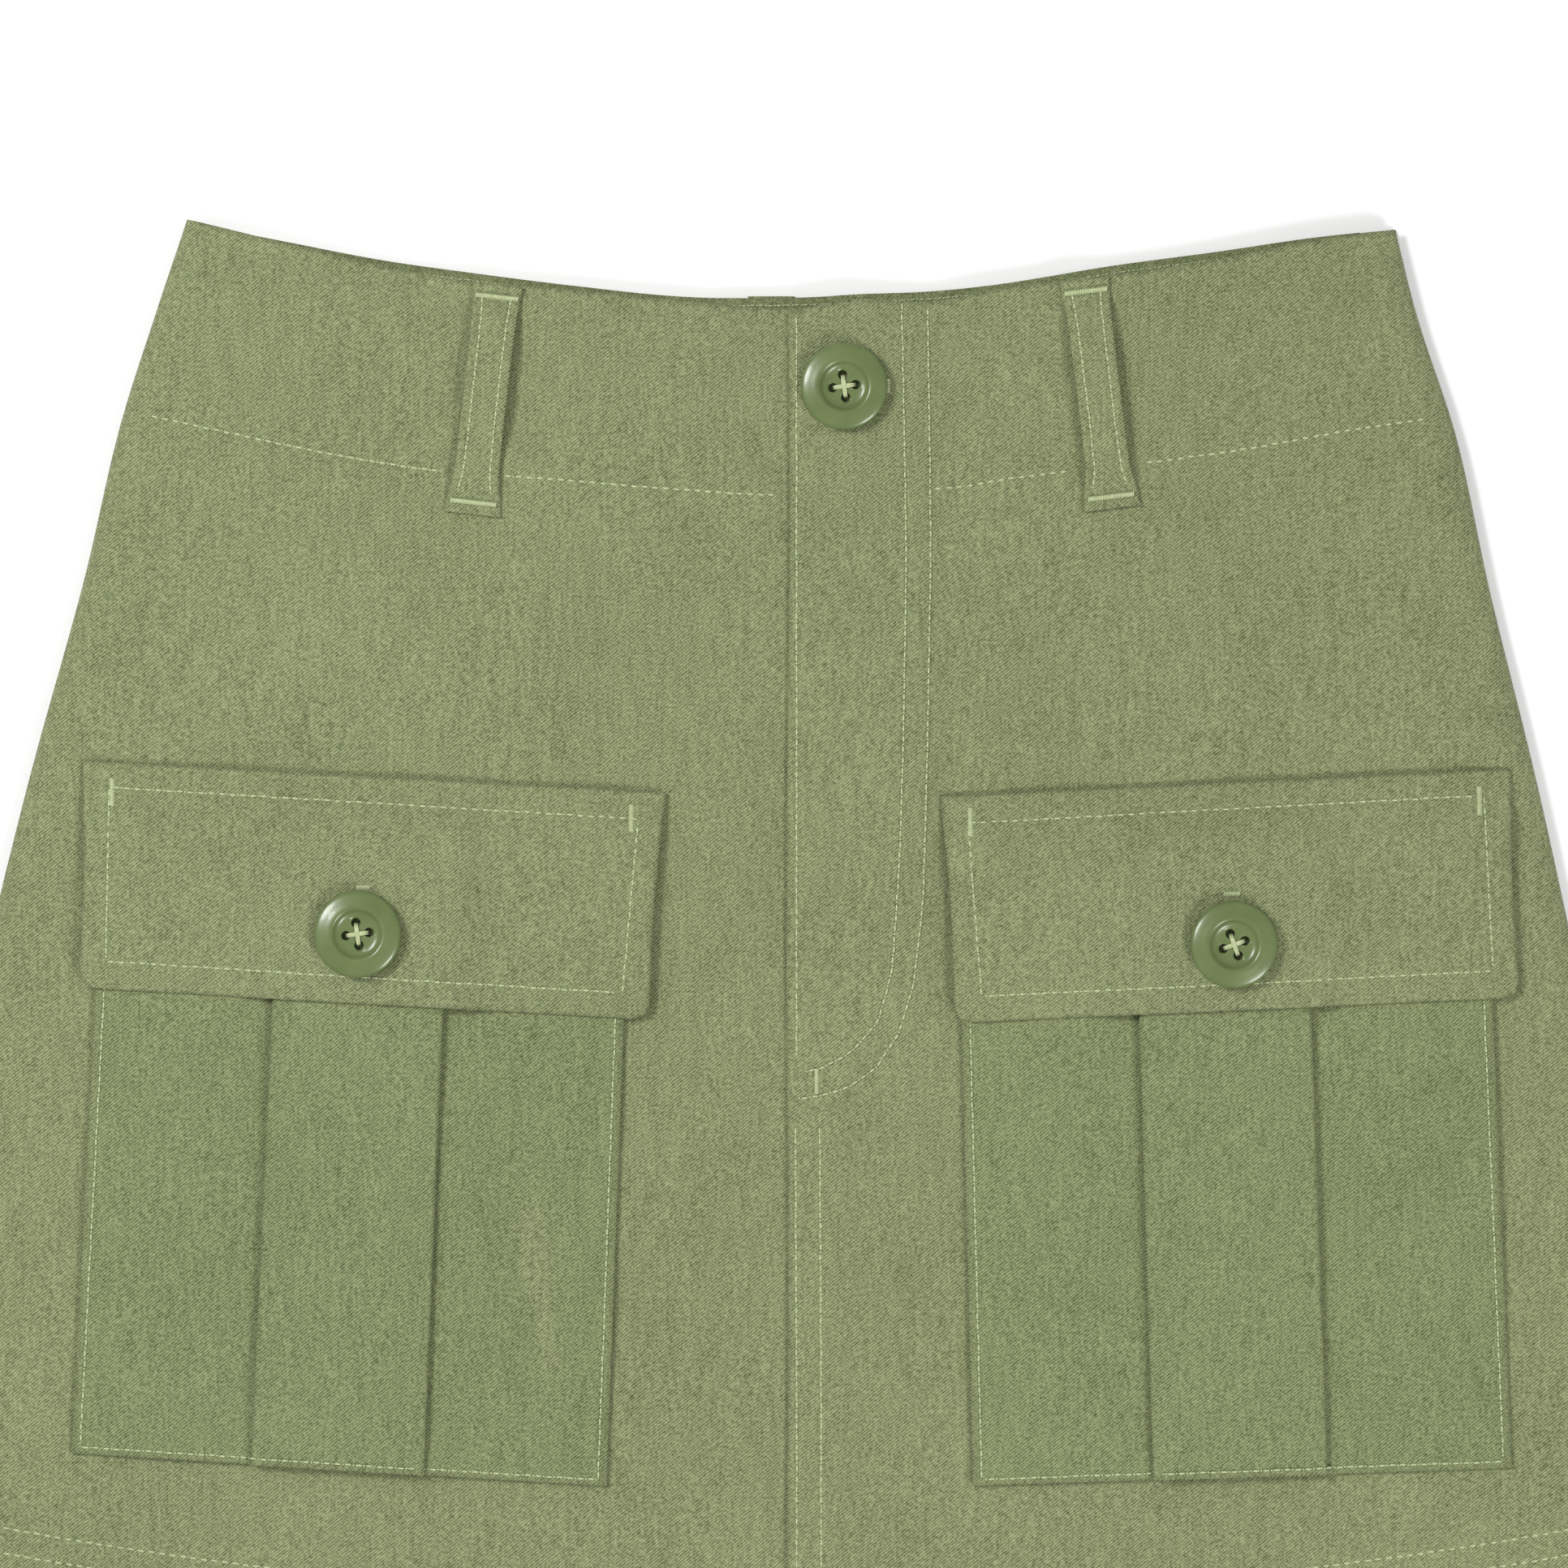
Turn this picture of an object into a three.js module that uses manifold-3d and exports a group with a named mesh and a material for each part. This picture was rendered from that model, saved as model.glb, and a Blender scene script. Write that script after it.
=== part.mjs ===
// A cargo mini skort, buttoned and laid out flat on its back, face up. Millimetres, +Z up.
// The waist is towards +Y and the hem towards -Y. "Right" and "left" are the wearer's, so
// the right-hand pieces lie on the -X side. Every cloth piece is one wall: a grid of points
// through the middle of the cloth, thickened along its own normals. The layers lie on each
// other with a small gap, from the surface up: centre-back loop, back, facing and shorts
// back, shorts front, skirt fronts, pockets, flaps, buttons.

import * as THREE from 'three';
import Module from 'manifold-3d';
import { mergeVertices } from 'three/addons/utils/BufferGeometryUtils.js';

// ---- Driving sizes -------------------------------------------------------------------

const CLOTH = 1.0;            // wall of every cloth piece
const GAP = 0.3;              // clear space between pieces that touch
const STEP = CLOTH + GAP;     // from one layer to the next

const WAIST_HALF = 149.4;     // half of the waist edge, laid flat
const LENGTH = 338;           // waist edge to hem edge, down the centre front
const HEM_ARC_RADIUS = 1120;  // the hem's curve, seen from above

const EASE = 0.1;             // extra air where a wall follows a slope below it

const BACK_SEAT = 0;          // the back lies on the surface
const INNER_SEAT = STEP;      // facing and shorts back lie on the back
const SHORTS_FRONT_SEAT = 3 * STEP;
const WAIST_SEAT = 3 * STEP;  // underside of the skirt fronts at the waist edge
const FRONT_SEAT = 4 * STEP;  // underside of the skirt fronts over the shorts
const HEM_SEAT = 1.7;         // underside of the skirt fronts at the hem edge
const HEM_RUN = 30;           // the fronts come down to the back over this depth
const SIDE_DROP_ANGLE = 70;   // degrees that a front turns down towards its side seam
const SIDE_STEPS = 4;         // facets of that turn
const SIDE_SEAM_SINK = 0.17;  // the turned edge is this much lower at its inner corner

const FLY_EDGE_X = -0.6;      // folded edge of the left front, and the seam below it
const FLY_LENGTH = 194;
const UNDERLAP_REACH = 29;    // right front under the fly
const SEAM_REACH = 8;         // right front under the centre seam
const LAP_SLOPE_RUN = 6;      // the left front comes down beside the underlap

const LOOP_LENGTH = 57;
const BACK_LOOP_X = -5;       // centre-back loop, under the back
const BACK_LOOP_PROUD = 0.9;  // its top end stands above the back's waist edge
const FACING_DEPTH = 46;

const SHORTS_TOP = 47;        // the shorts hang from the facing's lower edge
const SHORTS_CROTCH = 248;    // all depths are measured down from the waist edge
const SHORTS_HEM = 305;
const INNER_INSET = 9;        // facing and shorts stop short of the side folds
const SHORTS_LEG_GAP = 16;    // between the legs at their hems

const PLEAT_DEPTH = 15;       // each side fold of a pocket's box pleat
const PLEAT_AIR = 0.2;        // between the pleat's layers
const FLAP_SEAM_RUN = 6;      // a flap lies on the front this far, then climbs
const FLAP_CLIMB_RUN = 7;
const FLAP_DRAPE_RUN = 10;    // a flap comes down beside the pleat over this run
const FLAP_FOLD_MARGIN = 2;   // past the pleat's folds before it comes down

const BUTTON = { radius: 10.7, height: 3.4, wellRadius: 6.2, wellFloor: 1.9, holeRadius: 1.15 };
const BUTTON_HOLE_CIRCLE = 2.8;
const BUTTON_HOLE_TURN = 8;   // degrees that the cross of holes is turned
const BUTTON_SEGMENTS = 40;

// Side folds of the skirt: distance from the centre line at each depth below the waist.
const SIDE_ROWS = [
  { depth: -4, right: 148.6, left: 149.0 },
  { depth: 0, right: 149.4, left: 149.4 },
  { depth: 22, right: 156.6, left: 154.8 },
  { depth: 52, right: 166.0, left: 164.4 },
  { depth: 90, right: 174.8, left: 172.6 },
  { depth: 136, right: 187.4, left: 183.8 },
  { depth: 180, right: 198.4, left: 193.4 },
  { depth: LENGTH, right: 238.0, left: 227.0 },
];

// Height of the front waist edge above its centre, and how far the back edge shows above it.
const WAIST_ROWS = [
  { across: -1.0, rise: 22.4, lip: -0.6 },
  { across: -0.84, rise: 16.6, lip: 0.5 },
  { across: -0.68, rise: 11.0, lip: 1.5 },
  { across: -0.53, rise: 7.0, lip: 2.3 },
  { across: -0.36, rise: 4.9, lip: 1.2 },
  { across: -0.18, rise: 2.2, lip: 1.2 },
  { across: 0.0, rise: 0.2, lip: 2.8 },
  { across: 0.11, rise: 2.5, lip: 1.5 },
  { across: 0.23, rise: 2.0, lip: 2.7 },
  { across: 0.35, rise: 5.3, lip: 1.3 },
  { across: 0.53, rise: 8.6, lip: 2.4 },
  { across: 0.70, rise: 12.4, lip: 2.0 },
  { across: 0.86, rise: 17.0, lip: 0.9 },
  { across: 1.0, rise: 19.8, lip: 0.3 },
];

// Pockets: corners in plan. Flaps: corners in plan. Their top edges are on the skirt front.
const POCKETS = [
  {
    side: 'right',
    pocket: { topOut: [-169.2, -127], topIn: [-39.7, -133], lowOut: [-177.2, -281.8], lowIn: [-45.5, -289.9] },
    folds: [0.339, 0.656],
    flap: { topOut: [-174.4, -111.4], topIn: [-31.0, -119.2], lowOut: [-175.2, -167.0], lowIn: [-35.0, -174.8] },
    button: [-106.4, -153.8],
  },
  {
    side: 'left',
    pocket: { topOut: [171.0, -130], topIn: [40.9, -134], lowOut: [177.4, -285.4], lowIn: [44.8, -289.8] },
    folds: [0.346, 0.664],
    flap: { topOut: [177.0, -113.4], topIn: [36.8, -120.2], lowOut: [179.2, -169.4], lowIn: [40.2, -175.6] },
    button: [108.6, -156.4],
  },
];

// Front belt loops: middle of the top and bottom ends in plan.
const FRONT_LOOPS = [
  { side: 'right', top: [-72.2, 6.0], bottom: [-78.6, -50.4] },
  { side: 'left', top: [72.2, 7.4], bottom: [79.0, -48.4] },
];

// A loop flares at its sewn ends and stands off in the middle.
const LOOP_SECTIONS = [
  { along: 0, half: 6.0, standOff: 0 },
  { along: 4, half: 5.7, standOff: 0 },
  { along: 9, half: 5.4, standOff: 0.8 },
  { along: 20, half: 5.3, standOff: 1.6 },
  { along: 38, half: 5.3, standOff: 1.6 },
  { along: 47, half: 5.5, standOff: 0.8 },
  { along: 52, half: 6.4, standOff: 0 },
  { along: LOOP_LENGTH, half: 7.0, standOff: 0 },
];

const WAIST_BUTTON = [13.0, -19.2];

// ---- Small helpers -------------------------------------------------------------------

const rad = THREE.MathUtils.degToRad;
const lerp = THREE.MathUtils.lerp;

// A smooth curve through a table of rows, read at a key value.
function smoothLookUp(rows, key, value, column) {
  let i = 1;
  while (i < rows.length - 1 && value > rows[i][key]) i += 1;
  const at = (n) => rows[Math.min(Math.max(n, 0), rows.length - 1)];
  const slope = (n) => {
    const before = at(n - 1);
    const after = at(n + 1);
    return (after[column] - before[column]) / (after[key] - before[key]);
  };
  const width = rows[i][key] - rows[i - 1][key];
  const t = (value - rows[i - 1][key]) / width;
  const a = (1 + 2 * t) * (1 - t) * (1 - t) * rows[i - 1][column];
  const b = t * (1 - t) * (1 - t) * width * slope(i - 1);
  const c = t * t * (3 - 2 * t) * rows[i][column];
  const d = t * t * (t - 1) * width * slope(i);
  return a + b + c + d;
}

// Straight interpolation through [place, height] stops.
function ramp(stops, place) {
  if (place <= stops[0][0]) return stops[0][1];
  for (let i = 1; i < stops.length; i += 1) {
    if (place <= stops[i][0]) {
      const share = (place - stops[i - 1][0]) / (stops[i][0] - stops[i - 1][0]);
      return lerp(stops[i - 1][1], stops[i][1], share);
    }
  }
  return stops[stops.length - 1][1];
}

// ---- The skirt's own coordinates ------------------------------------------------------

// Side fold at a depth: negative x on the wearer's right, positive on the left.
function sideX(depth, hand) {
  const reach = smoothLookUp(SIDE_ROWS, 'depth', depth, hand < 0 ? 'right' : 'left');
  return hand < 0 ? -reach : reach;
}

function waistY(across) {
  return smoothLookUp(WAIST_ROWS, 'across', across, 'rise');
}

function waistLip(across) {
  return smoothLookUp(WAIST_ROWS, 'across', across, 'lip');
}

function hemY(across) {
  const x = across * sideX(LENGTH, across);
  return -LENGTH + HEM_ARC_RADIUS - Math.sqrt(HEM_ARC_RADIUS * HEM_ARC_RADIUS - x * x);
}

// Plan point at a share across (-1 right fold, 0 centre, 1 left fold) and a depth.
function yAt(across, depth) {
  const share = depth / LENGTH;
  return lerp(waistY(across), hemY(across), share);
}

function planAtX(x, depth) {
  const across = x / Math.abs(sideX(depth, x < 0 ? -1 : 1));
  return [x, yAt(across, depth)];
}

// Depth of a plan point, found by a few corrections.
function depthAt(x, y) {
  let depth = -y;
  for (let i = 0; i < 6; i += 1) depth += planAtX(x, depth)[1] - y;
  return depth;
}

// Underside of the skirt fronts: low at the waist edge and the hem, level in between.
const FRONT_STOPS = [
  [0, WAIST_SEAT],
  [12, FRONT_SEAT],
  [LENGTH - HEM_RUN, FRONT_SEAT],
  [LENGTH - HEM_RUN / 2, (FRONT_SEAT + HEM_SEAT) / 2 - 0.2],
  [LENGTH, HEM_SEAT],
];
const frontSeat = (depth) => ramp(FRONT_STOPS, depth);
const frontTopAt = (x, y) => frontSeat(depthAt(x, y)) + CLOTH;

// How far the right front reaches under the left one at a depth.
const UNDERLAP_STOPS = [[0, UNDERLAP_REACH], [FLY_LENGTH - 22, UNDERLAP_REACH], [FLY_LENGTH, SEAM_REACH]];
const underlapX = (depth) => ramp(UNDERLAP_STOPS, depth);

// The back, the facing and the shorts back are lifted over the centre-back loop.
const LIFT_HALF = 7.2;
const LIFT_RUN = 8;
const LIFT_ACROSS = [-LIFT_HALF - LIFT_RUN, -LIFT_HALF, LIFT_HALF, LIFT_HALF + LIFT_RUN].map((x) => BACK_LOOP_X + x);
const LIFT_DEPTH = [LOOP_LENGTH + 1, LOOP_LENGTH + 1 + LIFT_RUN];
function loopLift(x, depth) {
  const byX = ramp([[LIFT_ACROSS[0], 0], [LIFT_ACROSS[1], 1], [LIFT_ACROSS[2], 1], [LIFT_ACROSS[3], 0]], x);
  const byDepth = ramp([[LIFT_DEPTH[0], 1], [LIFT_DEPTH[1], 0]], depth);
  return STEP * byX * byDepth;
}

// ---- Cloth walls from grids of points -------------------------------------------------

// Thickens a grid of middle points (rows of THREE.Vector3, each row running the same way)
// along its normals and closes the four edges.
function clothGeometry(grid, wall = CLOTH) {
  const rows = grid.length;
  const columns = grid[0].length;
  const top = [];
  const under = [];
  for (let r = 0; r < rows; r += 1) {
    for (let c = 0; c < columns; c += 1) {
      const down = grid[Math.min(r + 1, rows - 1)][c].clone().sub(grid[Math.max(r - 1, 0)][c]);
      const side = grid[r][Math.min(c + 1, columns - 1)].clone().sub(grid[r][Math.max(c - 1, 0)]);
      const normal = down.cross(side).normalize();
      if (normal.z < 0) normal.negate();
      top.push(grid[r][c].clone().addScaledVector(normal, wall / 2));
      under.push(grid[r][c].clone().addScaledVector(normal, -wall / 2));
    }
  }
  const points = [...top, ...under];
  const at = (r, c) => r * columns + c;
  const below = (r, c) => rows * columns + r * columns + c;
  const faces = [];
  for (let r = 0; r < rows - 1; r += 1) {
    for (let c = 0; c < columns - 1; c += 1) {
      faces.push([at(r, c), at(r + 1, c), at(r + 1, c + 1)], [at(r, c), at(r + 1, c + 1), at(r, c + 1)]);
      faces.push([below(r, c), below(r + 1, c + 1), below(r + 1, c)]);
      faces.push([below(r, c), below(r, c + 1), below(r + 1, c + 1)]);
    }
  }
  const edge = [];
  for (let r = 0; r < rows - 1; r += 1) edge.push([r, 0]);
  for (let c = 0; c < columns - 1; c += 1) edge.push([rows - 1, c]);
  for (let r = rows - 1; r > 0; r -= 1) edge.push([r, columns - 1]);
  for (let c = columns - 1; c > 0; c -= 1) edge.push([0, c]);
  edge.forEach(([r, c], i) => {
    const [r2, c2] = edge[(i + 1) % edge.length];
    faces.push([at(r, c), below(r, c), below(r2, c2)], [at(r, c), below(r2, c2), at(r2, c2)]);
  });
  return closedGeometry(points, faces);
}

// An indexed geometry from points and triangles, with its faces turned outwards.
function closedGeometry(points, faces) {
  let volume = 0;
  for (const [a, b, c] of faces) volume += points[a].dot(points[b].clone().cross(points[c]));
  const order = volume < 0 ? faces.map(([a, b, c]) => [a, c, b]) : faces;
  const geometry = new THREE.BufferGeometry();
  geometry.setAttribute('position', new THREE.Float32BufferAttribute(points.flatMap((p) => p.toArray()), 3));
  geometry.setIndex(order.flat());
  geometry.computeVertexNormals();
  return geometry;
}

// Joins equal rings of points along a piece, and leaves its two ends open.
function loftGeometry(rings) {
  const count = rings[0].length;
  const points = rings.flat();
  const faces = [];
  for (let r = 0; r < rings.length - 1; r += 1) {
    for (let i = 0; i < count; i += 1) {
      const j = (i + 1) % count;
      const a = r * count;
      const b = a + count;
      faces.push([a + i, b + i, b + j], [a + i, b + j, a + j]);
    }
  }
  return { points, faces, count };
}

// ---- Skirt panels ---------------------------------------------------------------------

const FRONT_DEPTHS = [0, 6, 12, 34, 62, 90, 118, 146, FLY_LENGTH - 22, FLY_LENGTH - 10, FLY_LENGTH,
  224, 254, 284, LENGTH - HEM_RUN, LENGTH - HEM_RUN * 0.75, LENGTH - HEM_RUN / 2, LENGTH - HEM_RUN / 4, LENGTH];

// A front's section from its side seam to the flat: an arc that turns down to the back.
function sideArc(depth, hand) {
  const drop = frontSeat(depth) - BACK_SEAT - STEP + SIDE_SEAM_SINK;
  const turn = rad(SIDE_DROP_ANGLE);
  const radius = drop / (1 - Math.cos(turn));
  const edge = Math.abs(sideX(depth, hand)) - (CLOTH / 2) * Math.sin(turn);
  const flatX = edge - radius * Math.sin(turn);
  const flatZ = frontSeat(depth) + CLOTH / 2;
  const arc = [];
  for (let i = 0; i <= SIDE_STEPS; i += 1) {
    const angle = turn * (1 - i / SIDE_STEPS);
    arc.push({ x: hand * (flatX + radius * Math.sin(angle)), z: flatZ - radius + radius * Math.cos(angle) });
  }
  return arc;
}

function frontRow(depth, hand, inner) {
  const arc = sideArc(depth, hand);
  const flatEdge = arc[SIDE_STEPS].x;
  const row = arc.concat(inner(depth, flatEdge));
  return row.map(({ x, z }) => new THREE.Vector3(...planAtX(x, depth), z));
}

const RIGHT_SHARES = [0.85, 0.7, 0.56, 0.43, 0.3, 0.16];
const LEFT_SHARES = [0.86, 0.72, 0.58, 0.45, 0.33];

function frontRight() {
  const inner = (depth, flatEdge) => {
    const z = frontSeat(depth) + CLOTH / 2;
    const flat = RIGHT_SHARES.map((share) => ({ x: flatEdge * share, z }));
    return [...flat, { x: FLY_EDGE_X, z }, { x: underlapX(depth), z }];
  };
  return clothGeometry(FRONT_DEPTHS.map((depth) => frontRow(depth, -1, inner)));
}

function frontLeft() {
  const inner = (depth, flatEdge) => {
    const z = frontSeat(depth) + CLOTH / 2;
    const flat = LEFT_SHARES.map((share) => ({ x: flatEdge * share, z }));
    const clear = underlapX(depth) + 2;
    const lap = [{ x: clear + LAP_SLOPE_RUN, z }, { x: clear, z: z + STEP }, { x: FLY_EDGE_X, z: z + STEP }];
    return [...flat, ...lap];
  };
  return clothGeometry(FRONT_DEPTHS.map((depth) => frontRow(depth, 1, inner)));
}

// Lines across the back that the loop's lift needs, and even ones beside them.
const BACK_SHARES = [1, 0.84, 0.68, 0.53, 0.38, 0.24];

function backColumns(depth) {
  const right = BACK_SHARES.map((share) => sideX(depth, -1) * share);
  const left = [...BACK_SHARES].reverse().map((share) => sideX(depth, 1) * share);
  return [...right, ...LIFT_ACROSS, ...left];
}

function backPoint(x, depth, seat) {
  const [, y] = planAtX(x, depth);
  const across = x / Math.abs(sideX(depth, x < 0 ? -1 : 1));
  const lip = waistLip(across) * Math.max(0, 1 - depth / 12);
  const z = seat + CLOTH / 2 + loopLift(x, depth);
  return new THREE.Vector3(x, y + lip, z);
}

function backPanel() {
  const depths = [0, 12, 34, 46, ...LIFT_DEPTH, 90, 118, 146, 180, 224, 268, 304, LENGTH];
  return clothGeometry(depths.map((depth) => backColumns(depth).map((x) => backPoint(x, depth, BACK_SEAT))));
}

// The facing stops short of the side arcs of the fronts.
function backFacing() {
  const depths = [0, 12, 34, FACING_DEPTH];
  const row = (depth) => backColumns(depth).map((x) => {
    const limit = Math.abs(sideX(depth, x)) - INNER_INSET;
    const inside = THREE.MathUtils.clamp(x, -limit, limit);
    return backPoint(inside, depth, INNER_SEAT);
  });
  return clothGeometry(depths.map(row));
}

// ---- Inner shorts ---------------------------------------------------------------------

// One leg panel: it runs from the centre seam to its side, and below the crotch to the
// inside leg.
function shortsPanel(hand, seat, lifted) {
  const depths = [SHORTS_TOP, ...LIFT_DEPTH, 110, 160, 205, SHORTS_CROTCH, SHORTS_CROTCH + 8, 280, SHORTS_HEM];
  const liftLines = hand < 0 ? [LIFT_ACROSS[0], LIFT_ACROSS[1], -GAP / 2] : [LIFT_ACROSS[3], LIFT_ACROSS[2], GAP / 2];
  const grid = depths.map((depth) => {
    const below = ramp([[SHORTS_CROTCH, 0], [SHORTS_CROTCH + 8, 0.6], [SHORTS_HEM, 1]], depth);
    const inset = (SHORTS_LEG_GAP / 2) * below;
    const outer = sideX(depth, hand) - hand * INNER_INSET;
    const evenXs = BACK_SHARES.map((share) => hand * Math.min(Math.abs(sideX(depth, hand)) * share, Math.abs(outer)));
    const centreXs = liftLines.map((x) => x + hand * inset);
    const row = [...evenXs, ...centreXs].map((x) => {
      const [, y] = planAtX(x, depth);
      return new THREE.Vector3(x, y, seat + CLOTH / 2 + (lifted ? loopLift(x - hand * inset, depth) : 0));
    });
    return hand < 0 ? row : row.reverse();
  });
  return clothGeometry(grid);
}

// ---- Belt loops -----------------------------------------------------------------------

function beltLoop({ top, bottom }) {
  const start = new THREE.Vector2(...top);
  const run = new THREE.Vector2(...bottom).sub(start).normalize();
  const across = new THREE.Vector2(-run.y, run.x);
  const seat = (point) => {
    const onLap = point.x > 0 && point.x < underlapX(0) ? STEP : 0;
    return frontTopAt(point.x, point.y) + onLap + GAP + EASE;
  };
  const grid = LOOP_SECTIONS.map(({ along, half, standOff }) => {
    const middle = start.clone().addScaledVector(run, along);
    return [-half, 0, half].map((offset) => {
      const point = middle.clone().addScaledVector(across, offset);
      const crown = offset === 0 ? standOff : standOff * 0.8;
      return new THREE.Vector3(point.x, point.y, seat(point) + CLOTH / 2 + crown);
    });
  });
  return clothGeometry(grid);
}

// The centre-back loop is pressed flat between the back and the surface.
function backLoop() {
  const topY = planAtX(BACK_LOOP_X, 0)[1] + waistLip(BACK_LOOP_X / WAIST_HALF) + BACK_LOOP_PROUD;
  const grid = LOOP_SECTIONS.map(({ along, half }) => [-half, 0, half].map((offset) => (
    new THREE.Vector3(BACK_LOOP_X + offset * 0.95, topY - along, CLOTH / 2))));
  return clothGeometry(grid);
}

// ---- Pockets, flaps -------------------------------------------------------------------

// Point in a four-cornered patch: u from the outer to the inner edge, v from top to bottom.
function patchPoint({ topOut, topIn, lowOut, lowIn }, u, v) {
  const x = lerp(lerp(topOut[0], topIn[0], u), lerp(lowOut[0], lowIn[0], u), v);
  const y = lerp(lerp(topOut[1], topIn[1], u), lerp(lowOut[1], lowIn[1], u), v);
  return [x, y];
}

// Section of a pocket with its box pleat: [share across, offset in mm, height].
// The middle strip lies on top, and the cloth folds back under it on both sides.
const PLEAT_B = CLOTH + PLEAT_AIR;
const PLEAT_C = 2 * PLEAT_B;
function pocketSection([foldOut, foldIn]) {
  const half = (fold, side) => [
    [fold, side * PLEAT_DEPTH, 0],
    [fold, side * PLEAT_DEPTH, PLEAT_B + CLOTH],
    [fold, side * CLOTH, PLEAT_B + CLOTH],
    [fold, side * CLOTH, PLEAT_C],
  ];
  const halfTop = (fold, side) => [
    [fold, side * (PLEAT_DEPTH - CLOTH), CLOTH],
    [fold, side * (PLEAT_DEPTH - CLOTH), PLEAT_B],
    [fold, 0, PLEAT_B],
    [fold, 0, PLEAT_C + CLOTH],
  ];
  return [
    [0, 0, 0],
    ...half(foldOut, 1),
    ...half(foldIn, -1).reverse(),
    [1, 0, 0],
    [1, 0, CLOTH],
    ...halfTop(foldIn, -1),
    ...halfTop(foldOut, 1).reverse(),
    [0, 0, CLOTH],
  ];
}

const POCKET_SECTIONS = [0, 0.2, 0.45, 0.7, 0.9, 1];
const pocketSeat = (x, y) => frontTopAt(x, y) + GAP;

function pocket({ pocket: plan, folds }) {
  const section = pocketSection(folds);
  const width = Math.hypot(plan.topIn[0] - plan.topOut[0], plan.topIn[1] - plan.topOut[1]);
  const flat = section.map(([share, offset, height]) => new THREE.Vector2(share * width + offset, height));
  const rings = POCKET_SECTIONS.map((v) => flat.map((p) => {
    const out = new THREE.Vector2(...patchPoint(plan, 0, v));
    const reach = new THREE.Vector2(...patchPoint(plan, 1, v)).sub(out);
    const place = out.addScaledVector(reach, p.x / width);
    return new THREE.Vector3(place.x, place.y, pocketSeat(place.x, place.y) + p.y);
  }));
  const { points, faces, count } = loftGeometry(rings);
  const cap = THREE.ShapeUtils.triangulateShape(flat, []);
  const last = (rings.length - 1) * count;
  const sameTurn = capWinding(flat, cap) > 0;
  for (const [a, b, c] of cap) {
    faces.push(sameTurn ? [a, b, c] : [a, c, b]);
    faces.push(sameTurn ? [last + a, last + c, last + b] : [last + a, last + b, last + c]);
  }
  return closedGeometry(points, faces);
}

// 1 where the cap's triangles turn the same way as the section runs.
function capWinding(flat, cap) {
  const [a, b, c] = cap[0].map((i) => flat[i]);
  const turn = (b.x - a.x) * (c.y - a.y) - (b.y - a.y) * (c.x - a.x);
  return Math.sign(turn) * (THREE.ShapeUtils.isClockWise(flat) ? -1 : 1);
}

// A flap lies on the front along its seam, climbs onto the pocket and drapes beside the
// pleat.
function flap({ flap: plan, pocket: pocketPlan, folds }) {
  const low = STEP;
  const high = PLEAT_C + STEP;
  const width = Math.abs(plan.topIn[0] - plan.topOut[0]);
  const pocketWidth = Math.abs(pocketPlan.topIn[0] - pocketPlan.topOut[0]);
  const margin = Math.abs(pocketPlan.topOut[0] - plan.topOut[0]);
  const foldAt = folds.map((share) => margin + share * pocketWidth);
  const acrossStops = [
    [foldAt[0] - FLAP_FOLD_MARGIN - FLAP_DRAPE_RUN, low],
    [foldAt[0] - FLAP_FOLD_MARGIN, high],
    [foldAt[1] + FLAP_FOLD_MARGIN, high],
    [foldAt[1] + FLAP_FOLD_MARGIN + FLAP_DRAPE_RUN, low],
  ];
  const us = [0, acrossStops[0][0] / 2, ...acrossStops.map(([place]) => place)];
  us.push((acrossStops[3][0] + width) / 2, width);
  const length = Math.abs(plan.lowIn[1] - plan.topIn[1]);
  const vs = [0, FLAP_SEAM_RUN, FLAP_SEAM_RUN + FLAP_CLIMB_RUN, length * 0.5, length * 0.8, length];
  const grid = vs.map((down) => us.map((place) => {
    const [x, y] = patchPoint(plan, place / width, down / length);
    const climb = ramp([[FLAP_SEAM_RUN, 0], [FLAP_SEAM_RUN + FLAP_CLIMB_RUN, 1]], down);
    const height = ramp(acrossStops, place) * climb;
    return new THREE.Vector3(x, y, pocketSeat(x, y) + EASE + height + CLOTH / 2);
  }));
  return clothGeometry(grid);
}

// ---- Buttons --------------------------------------------------------------------------

const wasm = await Module();
wasm.setup();

function toSolid(geometry) {
  const bare = geometry.index ? geometry.toNonIndexed() : geometry.clone();
  bare.deleteAttribute('normal');
  bare.deleteAttribute('uv');
  const merged = mergeVertices(bare, 1e-4);
  return new wasm.Manifold(new wasm.Mesh({
    numProp: 3,
    vertProperties: new Float32Array(merged.attributes.position.array),
    triVerts: new Uint32Array(merged.index.array),
  }));
}

function toGeometry(solid) {
  const mesh = solid.getMesh();
  const geometry = new THREE.BufferGeometry();
  geometry.setAttribute('position', new THREE.BufferAttribute(new Float32Array(mesh.vertProperties), 3));
  geometry.setIndex(new THREE.BufferAttribute(new Uint32Array(mesh.triVerts), 1));
  geometry.computeVertexNormals();
  return geometry;
}

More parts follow.
